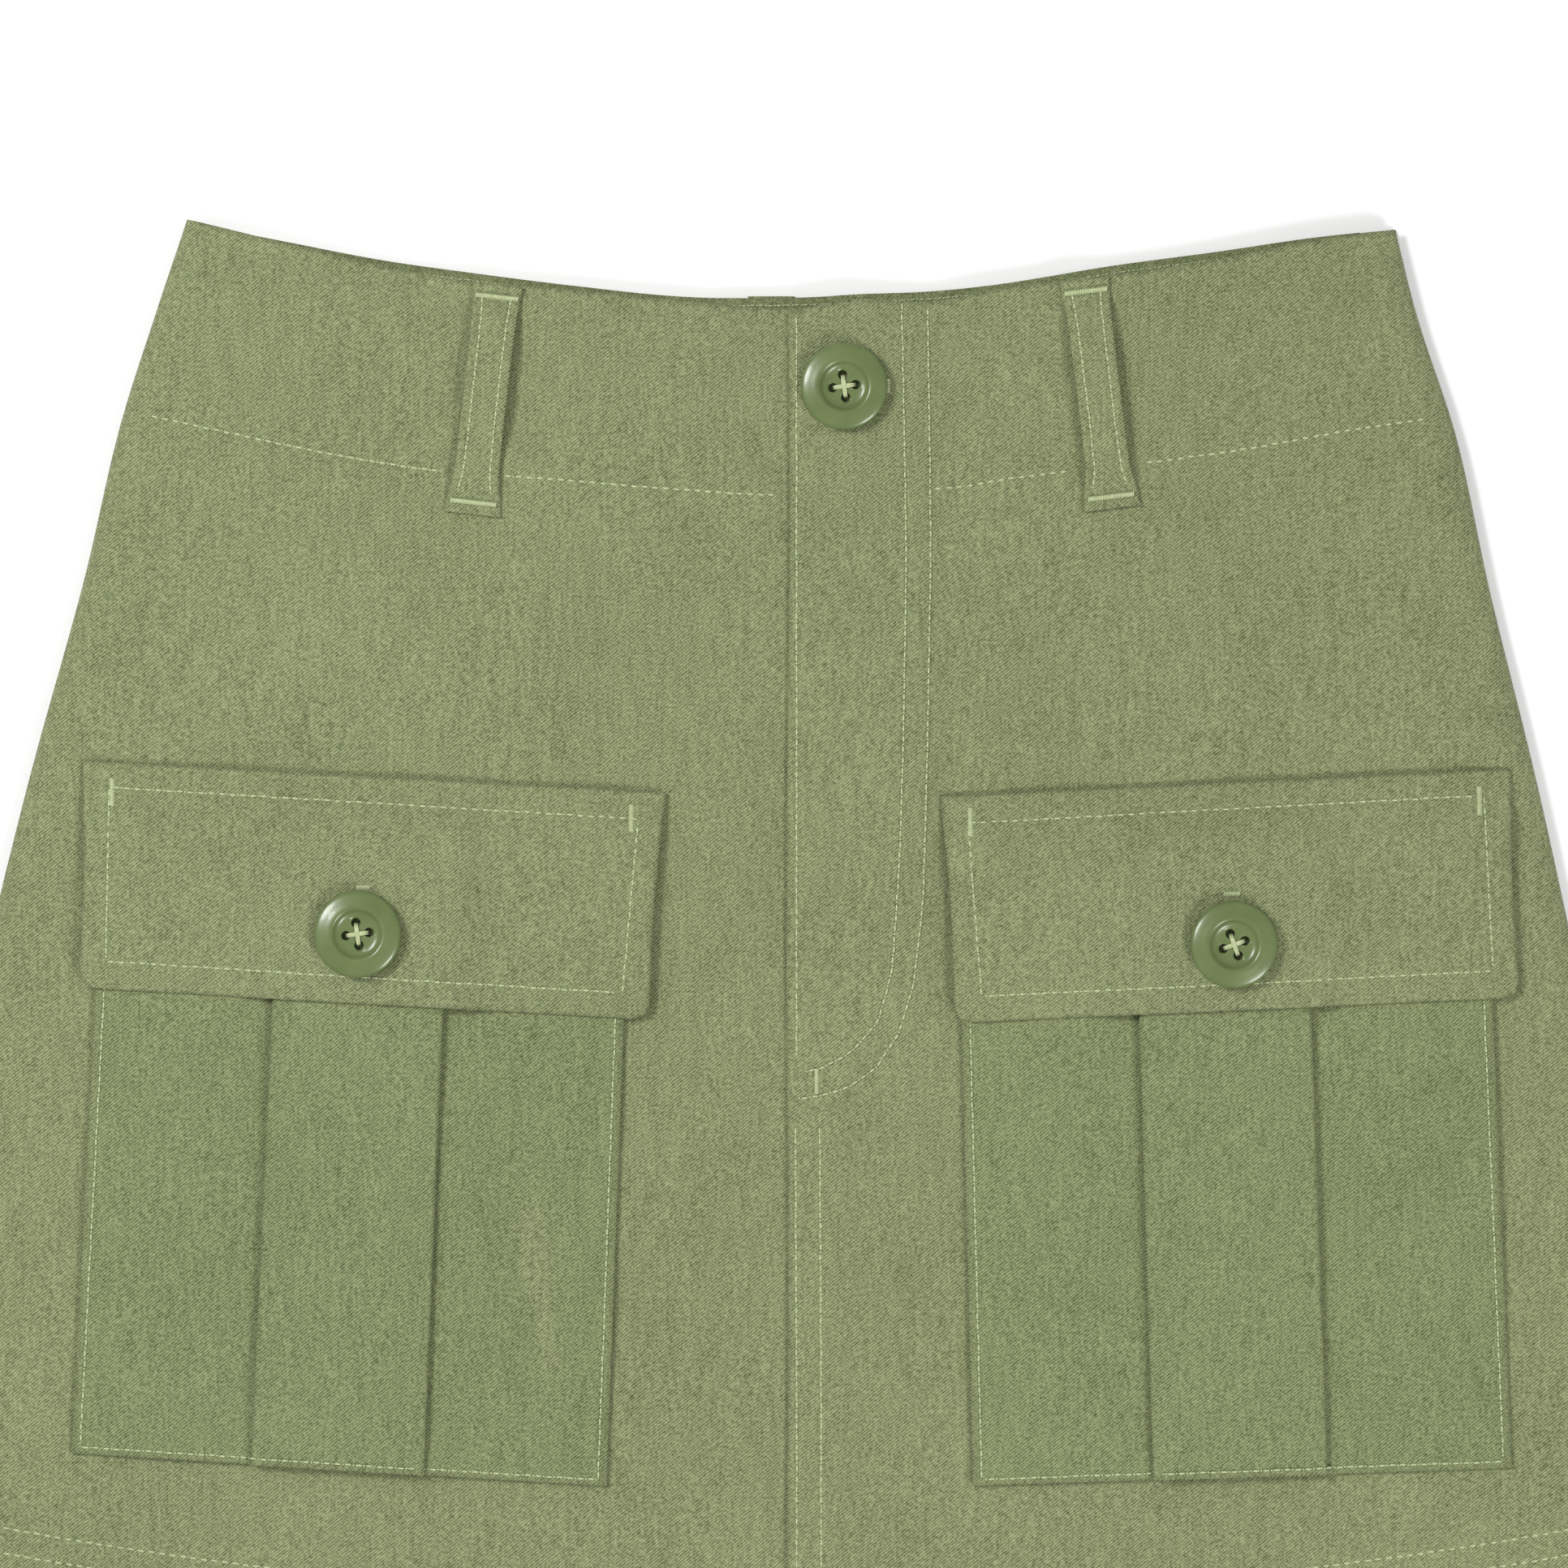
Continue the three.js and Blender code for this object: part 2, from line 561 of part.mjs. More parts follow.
// Four-hole button: a sloping rim, a rolled ring and a sunk middle.
function buttonGeometry() {
  const { radius, height, wellRadius, wellFloor, holeRadius } = BUTTON;
  const profile = [
    [0, 0], [radius - 1.6, 0], [radius - 0.4, 0.7], [radius, 1.5], [radius - 0.3, 2.2],
    [radius - 1.2, 2.6], [wellRadius + 1.3, 2.8], [wellRadius + 0.9, height], [wellRadius + 0.1, height],
    [wellRadius - 0.6, wellFloor + 0.4], [wellRadius - 1.3, wellFloor], [0, wellFloor - 0.1],
  ];
  const lathe = new THREE.LatheGeometry(profile.map(([x, y]) => new THREE.Vector2(x, y)), BUTTON_SEGMENTS);
  lathe.rotateX(Math.PI / 2);
  let solid = toSolid(lathe);
  for (let i = 0; i < 4; i += 1) {
    const angle = rad(BUTTON_HOLE_TURN + 90 * i);
    const hole = new THREE.CylinderGeometry(holeRadius, holeRadius, 3 * height, 10);
    hole.rotateX(Math.PI / 2);
    hole.translate(BUTTON_HOLE_CIRCLE * Math.cos(angle), BUTTON_HOLE_CIRCLE * Math.sin(angle), 0);
    solid = solid.subtract(toSolid(hole));
  }
  return toGeometry(solid);
}

// ---- The whole garment ----------------------------------------------------------------

const panelTwill = { color: 0x889067, roughness: 0.93, metalness: 0 };
const insideTwill = { color: 0x7f8760, roughness: 0.95, metalness: 0 };
const shortsJersey = { color: 0x7b835c, roughness: 0.95, metalness: 0 };
const buttonPlastic = { color: 0x73805a, roughness: 0.38, metalness: 0 };

const skort = new THREE.Group();

function addPiece(name, geometry, look) {
  const mesh = new THREE.Mesh(geometry, new THREE.MeshStandardMaterial(look));
  mesh.name = name;
  skort.add(mesh);
  return mesh;
}

addPiece('back_panel', backPanel(), panelTwill);
addPiece('back_facing', backFacing(), insideTwill);
addPiece('front_right', frontRight(), panelTwill);
addPiece('front_left', frontLeft(), panelTwill);
for (const [side, hand] of [['right', -1], ['left', 1]]) {
  addPiece(`shorts_back_${side}`, shortsPanel(hand, INNER_SEAT, true), shortsJersey);
  addPiece(`shorts_front_${side}`, shortsPanel(hand, SHORTS_FRONT_SEAT, false), shortsJersey);
}
for (const loop of FRONT_LOOPS) addPiece(`loop_front_${loop.side}`, beltLoop(loop), panelTwill);
addPiece('loop_centre_back', backLoop(), panelTwill);
for (const item of POCKETS) {
  addPiece(`pocket_${item.side}`, pocket(item), panelTwill);
  addPiece(`flap_${item.side}`, flap(item), panelTwill);
}

const button = buttonGeometry();
function addButton(name, [x, y], seat) {
  const mesh = addPiece(name, button.clone(), buttonPlastic);
  mesh.position.set(x, y, seat);
}
addButton('button_waist', WAIST_BUTTON, frontTopAt(...WAIST_BUTTON) + STEP + GAP);
for (const item of POCKETS) {
  const [x, y] = item.button;
  addButton(`button_${item.side}`, item.button, pocketSeat(x, y) + EASE + PLEAT_C + STEP + STEP);
}

// The origin is the middle of the whole garment's box, on the surface it lies on.
const middle = new THREE.Box3().setFromObject(skort).getCenter(new THREE.Vector3());
skort.position.set(-middle.x, -middle.y, 0);

export default skort;
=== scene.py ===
# %% [markdown]
# # A cargo mini skort in cotton twill, laid flat
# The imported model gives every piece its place. Here each cloth piece gets a fine shell that
# follows its solid, with creases, turned edges, stitching and a woven finish. All lengths
# are in metres, and `mm` turns millimetres into metres.

# %% Load the frame
import math
import random

import bmesh
import bpy
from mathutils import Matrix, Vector, noise


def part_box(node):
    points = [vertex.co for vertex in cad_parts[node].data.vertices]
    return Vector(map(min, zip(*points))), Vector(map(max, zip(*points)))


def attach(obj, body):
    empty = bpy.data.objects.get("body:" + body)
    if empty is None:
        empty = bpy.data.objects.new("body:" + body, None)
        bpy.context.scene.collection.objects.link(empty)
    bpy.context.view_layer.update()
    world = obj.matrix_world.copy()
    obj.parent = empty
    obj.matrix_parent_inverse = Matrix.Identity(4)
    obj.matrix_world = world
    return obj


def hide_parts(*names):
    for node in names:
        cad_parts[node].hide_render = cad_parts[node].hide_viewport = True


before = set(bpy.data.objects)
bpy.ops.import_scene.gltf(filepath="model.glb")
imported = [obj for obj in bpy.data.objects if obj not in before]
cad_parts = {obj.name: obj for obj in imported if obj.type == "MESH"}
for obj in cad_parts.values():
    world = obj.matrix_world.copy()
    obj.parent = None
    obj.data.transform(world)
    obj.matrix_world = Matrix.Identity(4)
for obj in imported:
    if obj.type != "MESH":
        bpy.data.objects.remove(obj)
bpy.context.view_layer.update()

mm = 0.001
rng = random.Random(7)

# %% [markdown]
# ## The skirt's own coordinates
# A pattern cutter thinks in "how far across" and "how deep below the waist". The same two
# numbers place every point here. The centre line is found from the waist button, which is
# sewn 13 mm to the wearer's left of it and 19.2 mm below the waist edge.

# %% Centre line, side folds and edges
button_low, button_high = (Vector(corner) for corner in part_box("button_waist"))
LENGTH = 338 * mm
HEM_ARC = 1120 * mm
CLOTH = 0.8 * mm
FLY_LENGTH = 194 * mm
STEP = 1.3 * mm

HALF_WALL = 0.5 * mm      # half of the model's 1 mm wall, so it is the middle of the cloth
FACING_DEPTH = 46 * mm
BUTTON_ASIDE = 13.0 * mm
BUTTON_DOWN = 19.2 * mm
CENTRE_X = (button_low.x + button_high.x) / 2 - BUTTON_ASIDE
WAIST_Y = (button_low.y + button_high.y) / 2 + BUTTON_DOWN

# Depth below the waist, then the half width to the wearer's right and left, all in mm.
SIDE_ROWS = [(-4, 148.6, 149.0), (0, 149.4, 149.4), (22, 156.6, 154.8), (52, 166.0, 164.4),
             (90, 174.8, 172.6), (136, 187.4, 183.8), (180, 198.4, 193.4), (338, 238.0, 227.0)]
# Place across from side to side as -1 to 1, then the waist's rise and the back's lip in mm.
WAIST_ROWS = [(-1.0, 22.4, -0.6), (-0.84, 16.6, 0.5), (-0.68, 11.0, 1.5), (-0.53, 7.0, 2.3),
              (-0.36, 4.9, 1.2), (-0.18, 2.2, 1.2), (0.0, 0.2, 2.8), (0.11, 2.5, 1.5),
              (0.23, 2.0, 2.7), (0.35, 5.3, 1.3), (0.53, 8.6, 2.4), (0.70, 12.4, 2.0),
              (0.86, 17.0, 0.9), (1.0, 19.8, 0.3)]


# %% Smooth curves through the rows
def curve_through(rows, key, column):
    """A smooth value from a table, read at the first column."""
    i = 1
    while i < len(rows) - 1 and key > rows[i][0]:
        i += 1

    def slope(n):
        before, after = rows[max(n - 1, 0)], rows[min(n + 1, len(rows) - 1)]
        return (after[column] - before[column]) / (after[0] - before[0])

    width = rows[i][0] - rows[i - 1][0]
    t = (key - rows[i - 1][0]) / width
    start = (1 + 2 * t) * (1 - t) ** 2 * rows[i - 1][column] + t * (1 - t) ** 2 * width * slope(i - 1)
    return start + t * t * (3 - 2 * t) * rows[i][column] + t * t * (t - 1) * width * slope(i)


def side_x(depth, hand):
    return hand * mm * curve_through(SIDE_ROWS, depth / mm, 1 if hand < 0 else 2)


def waist_y(across):
    return mm * curve_through(WAIST_ROWS, across, 1)


def hem_y(across):
    x = across * side_x(LENGTH, 1 if across > 0 else -1)
    return -LENGTH + HEM_ARC - math.sqrt(HEM_ARC ** 2 - x * x)


# %% From a depth below the waist to a place on the table
def plan(x, depth):
    """Garment point (centre line = 0, waist edge = 0) at x and a depth below the waist."""
    across = x / abs(side_x(depth, -1 if x < 0 else 1))
    share = depth / LENGTH
    return Vector((x, waist_y(across) * (1 - share) + hem_y(across) * share))


def depth_at(x, y):
    depth = -y
    for _ in range(5):
        depth += plan(x, depth).y - y
    return depth


def ramp(stops, place):
    if place <= stops[0][0]:
        return stops[0][1]
    for (a, low), (b, high) in zip(stops, stops[1:]):
        if place <= b:
            t = (place - a) / (b - a)
            return low + (high - low) * t * t * (3 - 2 * t)
    return stops[-1][1]


print("centre line at", round(CENTRE_X, 4), "waist at", round(WAIST_Y, 4))

# %% [markdown]
# ## How the cloth lies
# The fronts are lowest at the waist and the hem, where they rest on the back, and level
# over the shorts. On top of that come the creases: soft troughs and ridges given one by one,
# each with its own length, depth and width, and a little puckering that the seams cause.

# %% Heights and creases
FRONT_STOPS = [(0, 3.9 * mm), (12 * mm, 5.2 * mm), (LENGTH - 30 * mm, 5.2 * mm), (LENGTH, 1.7 * mm)]
UNDERLAP = [(0, 29 * mm), (FLY_LENGTH - 22 * mm, 29 * mm), (FLY_LENGTH, 8 * mm)]

# Creases in mm: start x, y, end x, y, height, half width.
CREASES = [
    (-70, -10, -34, -9, -0.9, 6), (-14, -94, -13, -176, 1.2, 8), (-27, -100, -25, -180, -0.9, 8),
    (-20, -30, -3, -60, 0.9, 7), (22, 0, 46, -10, -1.0, 6), (36, -8, 64, -16, 0.8, 7),
    (-150, -32, -110, -40, 0.8, 7), (-140, -66, -90, -86, 0.8, 12), (90, -60, 150, -44, 0.8, 12),
    (60, -80, 40, -118, 0.8, 9), (-30, -112, -16, -140, 0.8, 6), (34, -112, 26, -150, 0.7, 6),
    (168, -100, 182, -116, 0.8, 5), (-182, -100, -176, -130, 0.7, 5), (-60, -54, -30, -92, -0.7, 10),
    (12, -210, 30, -262, 0.7, 9), (-12, -205, -30, -270, 0.7, 10), (-190, -180, -200, -250, 0.8, 8),
    (190, -190, 200, -260, 0.8, 8), (-120, -296, -70, -310, 0.7, 8), (80, -300, 130, -296, 0.7, 8),
    (-90, -24, -60, -44, 0.7, 6), (86, -30, 110, -50, -0.6, 8), (110, -8, 140, -2, 0.6, 6),
]


CREASE_SCALE = 2.2


def crease_height(x, y, creases):
    """Sum of the soft ridges and troughs at a point, x and y in metres."""
    total = 0.0
    for x1, y1, x2, y2, height, half in creases:
        ax, ay, bx, by = x1 * mm, y1 * mm, x2 * mm, y2 * mm
        run = (bx - ax) ** 2 + (by - ay) ** 2
        t = max(-0.4, min(1.4, ((x - ax) * (bx - ax) + (y - ay) * (by - ay)) / run))
        gap = math.hypot(x - ax - t * (bx - ax), y - ay - t * (by - ay))
        fade = max(0.0, 1 - max(0.0, abs(t - 0.5) - 0.3) / 0.6)
        total += CREASE_SCALE * height * mm * fade * fade * math.exp(-(gap / (half * mm)) ** 2)
    return total


def ripple(x, y, size, amount, seed):
    """Slow uneven waves, as in cloth that has been worn and washed."""
    return amount * noise.noise(Vector((x / size, y / size, seed)))


def seam_pucker(distance, along, amount, seed):
    """Small puckers beside a stitched seam: they fade within a few millimetres."""
    short_wave = noise.noise(Vector((along / (3.6 * mm), seed, 0.0)))
    long_wave = noise.noise(Vector((along / (8 * mm), 0.0, seed)))
    return amount * (short_wave + 0.5 * long_wave) * math.exp(-(distance / (4.0 * mm)) ** 2)


def stitch_groove(distance, depth=0.18 * mm, half=0.9 * mm):
    return -depth * math.exp(-(distance / half) ** 2)


# %% The fronts' height
def under_pocket(x, y):
    """1 under a pocket and its flap, 0 clear of them, with soft borders."""
    by_x = ramp([(26 * mm, 0), (38 * mm, 1), (172 * mm, 1), (184 * mm, 0)], abs(x))
    return by_x * ramp([(-300 * mm, 0), (-288 * mm, 1), (-116 * mm, 1), (-104 * mm, 0)], y)


def settle(lift, room_below, room_above):
    """Holds a crease between the layer below and the layer above, without a hard stop."""
    room = room_below if lift < 0 else room_above
    return math.copysign(room * (1 - math.exp(-abs(lift) / room)), lift)


def front_height(x, y, hand):
    """Middle of a front's cloth: seat, side turn, lap, creases and puckers."""
    depth = depth_at(x, y)
    seat = ramp(FRONT_STOPS, depth)
    base = seat + HALF_WALL
    edge = abs(side_x(depth, hand)) - abs(x)
    run = (seat - 1.2 * mm) * 1.5
    if edge < run:
        t = max(0.0, 1 - edge / run)
        base -= (seat - 1.2 * mm) * (1 - math.sqrt(max(0.0, 1 - t * t)) * 0.75 - 0.25 * (1 - t))
    if hand > 0:
        reach = ramp(UNDERLAP, depth)
        base += STEP * ramp([(reach + 2 * mm, 1), (reach + 10 * mm, 0)], x)
    keep = min(1.0, max(0.0, (edge - 2 * mm) / (10 * mm)))
    keep *= min(1.0, max(0.0, depth / (6 * mm)) + 0.3)
    lift = keep * (crease_height(x, y, CREASES) + ripple(x, y, 38 * mm, 0.9 * mm, 2.0))
    free = 1 - under_pocket(x, y)
    base += settle(lift, 0.3 * mm, (0.3 + 2.4 * free) * mm) + 0.15 * mm * free
    facing = abs(depth - facing_depth(x))
    base += seam_pucker(facing, x, 0.22 * mm, 3.0) + stitch_groove(facing)
    hem = min(abs(depth - d) for d in HEM_ROWS)
    base += seam_pucker(hem, x, 0.16 * mm, 5.0) + stitch_groove(hem)
    return base


def facing_depth(x):
    return FACING_DEPTH + (1.5 * mm if x < 0 else 0.5 * mm) * abs(x) / (160 * mm)


HEM_ROWS = [LENGTH - 20 * mm, LENGTH - 13.8 * mm]
print(len(CREASES), "creases placed on the fronts")

# %% [markdown]
# ## One way to make a cloth shell
# Cloth is one thin sheet that keeps its thickness wherever it turns. It could be simulated,
# but a garment that lies still only needs its creases, and a placed sheet keeps each seam
# where the pattern has it. So a flat grid from `bmesh.ops.create_grid` is laid over the piece
# by a small function that says where each grid point goes, and a Solidify modifier then
# gives the wall its thickness.

# %% Cloth shell helper
def cloth(name, columns, rows, place, node, wall=CLOTH):
    mesh = bpy.data.meshes.new(name)
    shape = bmesh.new()
    bmesh.ops.create_grid(shape, x_segments=columns, y_segments=rows, size=1.0)
    for point in shape.verts:
        across, down = (point.co.x + 1) / 2, (1 - point.co.y) / 2
        x, y, z = place(across, down)
        point.co = (x + CENTRE_X, y + WAIST_Y, z)
    bmesh.ops.recalc_face_normals(shape, faces=shape.faces)
    if sum(face.normal.z for face in shape.faces) < 0:
        bmesh.ops.reverse_faces(shape, faces=shape.faces)
    for face in shape.faces:
        face.smooth = True
    shape.to_mesh(mesh)
    shape.free()
    piece = bpy.data.objects.new(name, mesh)
    bpy.context.scene.collection.objects.link(piece)
    wall_maker = piece.modifiers.new("wall", "SOLIDIFY")
    wall_maker.thickness = wall
    wall_maker.offset = 0.0
    wall_maker.use_even_offset = False
    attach(piece, "root")
    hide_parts(node)
    print(name, len(mesh.polygons), "faces")
    return piece


# %% [markdown]
# ## Skirt fronts and back
# The wearer's left front laps over the right one along the fly, and below it the two are
# sewn. The right front carries on underneath as the fly's underlap. One sheet for both
# fronts would lose the step at the fly's folded edge, so each front is its own sheet, and
# the left one rises where it crosses the underlap.

# %% Fronts
FLY_X = -0.6 * mm


def fly_edge(depth):
    """The folded edge wavers a little on its way down."""
    drift = ramp([(60 * mm, 0), (150 * mm, 1)], depth)
    return FLY_X + 0.25 * mm * math.sin(depth / (31 * mm)) - 0.3 * mm * drift


def waist_round(across, depth):
    """The lapped corner at the top of the fly is slightly rounded."""
    return -1.5 * mm * math.exp(-(across / (2.5 * mm)) ** 2) * max(0.0, 1 - depth / (4 * mm))


def place_front_right(across, down):
    depth = down * LENGTH
    side = side_x(depth, -1) + 0.45 * mm
    x = side + (ramp(UNDERLAP, depth) - side) * across ** 1.05
    point = plan(x, depth)
    return point.x, point.y, front_height(point.x, point.y, -1)


def place_front_left(across, down):
    depth = down * LENGTH
    side = side_x(depth, 1) - 0.45 * mm
    x = fly_edge(depth) + (side - fly_edge(depth)) * (1 - (1 - across) ** 1.05)
    point = plan(x, depth)
    y = point.y + waist_round(x - fly_edge(depth), depth)
    z = front_height(x, point.y, 1)
    lap = x - fly_edge(depth)
    z -= 0.35 * mm * math.exp(-(lap / (0.9 * mm)) ** 2)
    for line in (inner_j, outer_j):
        z += stitch_groove(abs(lap_distance(line, x, point.y)))
    z += seam_pucker(abs(lap - 2.0 * mm), depth, 0.18 * mm, 8.0)
    return x, y, z


# Two rows of stitching hold the fly: straight down, then round to the edge in a J.
inner_j = [(27.2, 2.0), (28.0, -40), (28.3, -64), (27.6, -105), (26.6, -137), (24.8, -163), (21.4, -175.5),
           (14.6, -183.2), (7.0, -187.2), (1.5, -188.2)]
outer_j = [(33.6, 0.6), (34.2, -40), (34.3, -64), (33.5, -110), (32.4, -146), (30.2, -166), (26.4, -178.4),
           (20.8, -187), (14.2, -191.6), (6.4, -193.9), (1.5, -194.4)]


def lap_distance(line, x, y):
    """Shortest distance from a point to a row of stitching, in metres."""
    best = 1.0
    for (ax, ay), (bx, by) in zip(line, line[1:]):
        ax, ay, bx, by = ax * mm, ay * mm, bx * mm, by * mm
        run = (bx - ax) ** 2 + (by - ay) ** 2
        t = max(0.0, min(1.0, ((x - ax) * (bx - ax) + (y - ay) * (by - ay)) / run))
        best = min(best, math.hypot(x - ax - t * (bx - ax), y - ay - t * (by - ay)))
    return best


fine = 1.0
front_right = cloth("skirt_front_right", int(190 * fine), int(230 * fine), place_front_right, "front_right")
front_left = cloth("skirt_front_left", int(180 * fine), int(230 * fine), place_front_left, "front_left")

# %% Back, lifted over the centre-back loop
BACK_LOOP_X = -5 * mm


def loop_lift(x, depth):
    by_x = ramp([(7.2 * mm, 1), (15 * mm, 0)], abs(x - BACK_LOOP_X))
    return STEP * by_x * ramp([(58 * mm, 1), (66 * mm, 0)], depth)


def back_place(seat, top, bottom, inset):
    def place(across, down):
        depth = top + down * (bottom - top)
        right, left = side_x(depth, -1) + inset, side_x(depth, 1) - inset
        x = right + (left - right) * across
        point = plan(x, depth)
        lip = mm * curve_through(WAIST_ROWS, x / abs(side_x(depth, -1 if x < 0 else 1)), 2)
        y = point.y + lip * max(0.0, 1 - depth / (12 * mm))
        return x, y, seat + HALF_WALL + loop_lift(x, depth)
    return place


back = cloth("skirt_back", int(150 * fine), int(120 * fine),
             back_place(0.0, 0.0, LENGTH, 0.2 * mm), "back_panel")
facing = cloth("back_waist_facing", 150, 20,
               back_place(STEP, 0.0, FACING_DEPTH, 9 * mm), "back_facing")

# %% [markdown]
# ## Inner shorts
# They hang from the facing and are what makes this a skort and not a skirt. They never show
# while it lies like this, so they are four plain panels, two to a leg, without creases.

# %% Shorts
SHORTS_TOP = 47.5 * mm
SHORTS_LENGTH = 257 * mm


def place_shorts(hand, seat, lifted):
    def place(across, down):
        depth = SHORTS_TOP + down * SHORTS_LENGTH
        inset = 8 * mm * ramp([(0, 0), (248 * mm, 0), (256 * mm, 0.6), (305 * mm, 1)], depth)
        outer = side_x(depth, hand) - hand * 9.5 * mm
        inner = hand * (0.2 * mm + inset)
        x = inner + (outer - inner) * across if hand > 0 else outer + (inner - outer) * across
        point = plan(x, depth)
        lift = loop_lift(x - hand * inset, depth) if lifted else 0.0
        return x, point.y, seat + HALF_WALL + lift
    return place


shorts = []
for hand, side in ((-1, "right"), (1, "left")):
    shorts.append(cloth(f"shorts_back_{side}_leg", 60, 70, place_shorts(hand, STEP, True),
                        f"shorts_back_{side}"))
    shorts.append(cloth(f"shorts_front_{side}_leg", 60, 70, place_shorts(hand, 3 * STEP, False),
                        f"shorts_front_{side}"))

# %% [markdown]
# ## Cargo pockets
# Each pocket is one piece of cloth with a box pleat, which lets it swell when it is filled.
# Three strips side by side would look alike from above but show no fold at the hem. So the
# cloth really folds: from the outer edge it runs in, turns back under the middle strip,
# turns again at the fold that shows, crosses as the middle strip, and does the same in
# reverse. The grid's "across" runs along that folded path.

# %% Pockets
POCKETS = {
    "right": dict(top_out=(-169.2, -127), top_in=(-39.7, -133),
                  low_out=(-177.2, -281.8), low_in=(-45.5, -289.9), folds=(0.339, 0.656),
                  flap_top_out=(-174.4, -111.4), flap_top_in=(-31.0, -119.2),
                  flap_low_out=(-175.2, -167.0), flap_low_in=(-35.0, -174.8)),
    "left": dict(top_out=(171.0, -130), top_in=(40.9, -134),
                 low_out=(177.4, -285.4), low_in=(44.8, -289.8), folds=(0.346, 0.664),
                 flap_top_out=(177.0, -113.4), flap_top_in=(36.8, -120.2),
                 flap_low_out=(179.2, -169.4), flap_low_in=(40.2, -175.6)),
}
POCKET_SEAT = 6.5 * mm     # underside of the pockets and of the flaps' sewn edge
POCKET_LENGTH = 155 * mm
EDGE_ROW = 2.0 * mm        # stitching runs this far inside a pocket's edge
PLEAT = 15 * mm
LAYER = 1.2 * mm


def patch(top_out, top_in, low_out, low_in, u, v):
    x = (top_out[0] * (1 - u) + top_in[0] * u) * (1 - v) + (low_out[0] * (1 - u) + low_in[0] * u) * v
    y = (top_out[1] * (1 - u) + top_in[1] * u) * (1 - v) + (low_out[1] * (1 - u) + low_in[1] * u) * v
    return x * mm, y * mm


# %% The folded section of a pocket
def pleat_path(width, folds):
    """The folded section as (place across, height) points, with rounded turns."""
    first, second = folds[0] * width, folds[1] * width
    path = [(0.0, 0.0), (first + PLEAT - LAYER, 0.0)]

    def turn(x, z, way):
        half = LAYER / 2
        for i in range(1, 6):
            angle = math.pi * i / 6
            path.append((x + way * half * math.sin(angle), z + half - half * math.cos(angle)))

    turn(first + PLEAT - LAYER, 0.0, 1)
    path.append((first + PLEAT - LAYER, LAYER))
    path.append((first + LAYER / 2, LAYER))
    turn(first + LAYER / 2, LAYER, -1)
    path.append((first + LAYER / 2, 2 * LAYER))
    mirrored = [(first + second - x, z) for x, z in reversed(path[1:])]
    tail = [(width, 0.0)]
    return path, mirrored + tail


def spaced_path(points, step):
    """The same path with points close together along its straight runs."""
    spaced = []
    for (ax, az), (bx, bz) in zip(points, points[1:]):
        parts = max(1, round(math.hypot(bx - ax, bz - az) / step))
        spaced += [(ax + (bx - ax) * i / parts, az + (bz - az) * i / parts) for i in range(parts)]
    return spaced + [points[-1]]


# %% Two cargo pockets
POCKET_CREASES = {
    "right": [(-84, -205, -72, -268, 0.9, 6), (-66, -215, -58, -270, -0.7, 6),
              (-150, -180, -160, -240, 0.5, 9), (-112, -190, -108, -270, 0.5, 9),
              (-140, -260, -120, -276, 0.6, 6), (-60, -180, -52, -205, 0.6, 5)],
    "left": [(62, -190, 56, -250, 0.6, 8), (112, -200, 104, -268, 0.6, 9), (160, -186, 150, -238, 0.6, 7),
             (150, -250, 165, -276, 0.6, 6), (70, -262, 84, -280, 0.5, 5)],
}


def make_pocket(side, spec):
    corners = [spec[k] for k in ("top_out", "top_in", "low_out", "low_in")]
    width = abs(spec["top_in"][0] - spec["top_out"][0]) * mm
    first_half, second_half = pleat_path(width, spec["folds"])
    path = spaced_path(first_half + second_half, 1.8 * mm)
    last = len(path) - 1

    def place(across, down):
        i = across * last
        low = min(int(i), last - 1)
        t = i - low
        px = path[low][0] * (1 - t) + path[low + 1][0] * t
        pz = path[low][1] * (1 - t) + path[low + 1][1] * t
        share = px / width
        x, y = patch(*corners, share, down)
        hold = min(1.0, share / 0.05, (1 - share) / 0.05, (1 - down) / 0.05)
        soft = crease_height(x, y, POCKET_CREASES[side]) + ripple(x, y, 30 * mm, 0.35 * mm, 4.0 + len(side))
        outside = pz > 1.9 * LAYER or pz < 0.1 * LAYER
        z = POCKET_SEAT + HALF_WALL + pz + hold * soft * (1.0 if outside else 0.6)
        edge = min(share, 1 - share) * width
        bottom = (1 - down) * POCKET_LENGTH
        z += stitch_groove(abs(min(edge, bottom) - EDGE_ROW), 0.15 * mm)
        z += seam_pucker(abs(edge - EDGE_ROW), y, 0.15 * mm, 9.0)
        z += seam_pucker(abs(bottom - EDGE_ROW), x, 0.15 * mm, 11.0)
        squash = ramp([(0.0, 0.8), (0.1, 0.0), (0.93, 0.0), (1.0, 1.0)], down)
        z -= squash * pz * 0.3
        return x, y, z

    piece = cloth(f"cargo_pocket_{side}", last, int(110 * fine), place, f"pocket_{side}")
    return piece


pockets = {side: make_pocket(side, spec) for side, spec in POCKETS.items()}

# %% [markdown]
# ## Pocket flaps
# A flap is sewn down along its top edge, climbs onto the pocket and drapes past the pleat.
# It is two layers turned out, so its wall is thicker and its edge rolls over. A height
# function that knows where the pleat lies shapes it, and the stitching asks the same
# function, so the stitches lie on the cloth.

# %% Flaps
FLAP_SIZE = (144 * mm, 56 * mm)
FLAP_ROW = 6.2 * mm


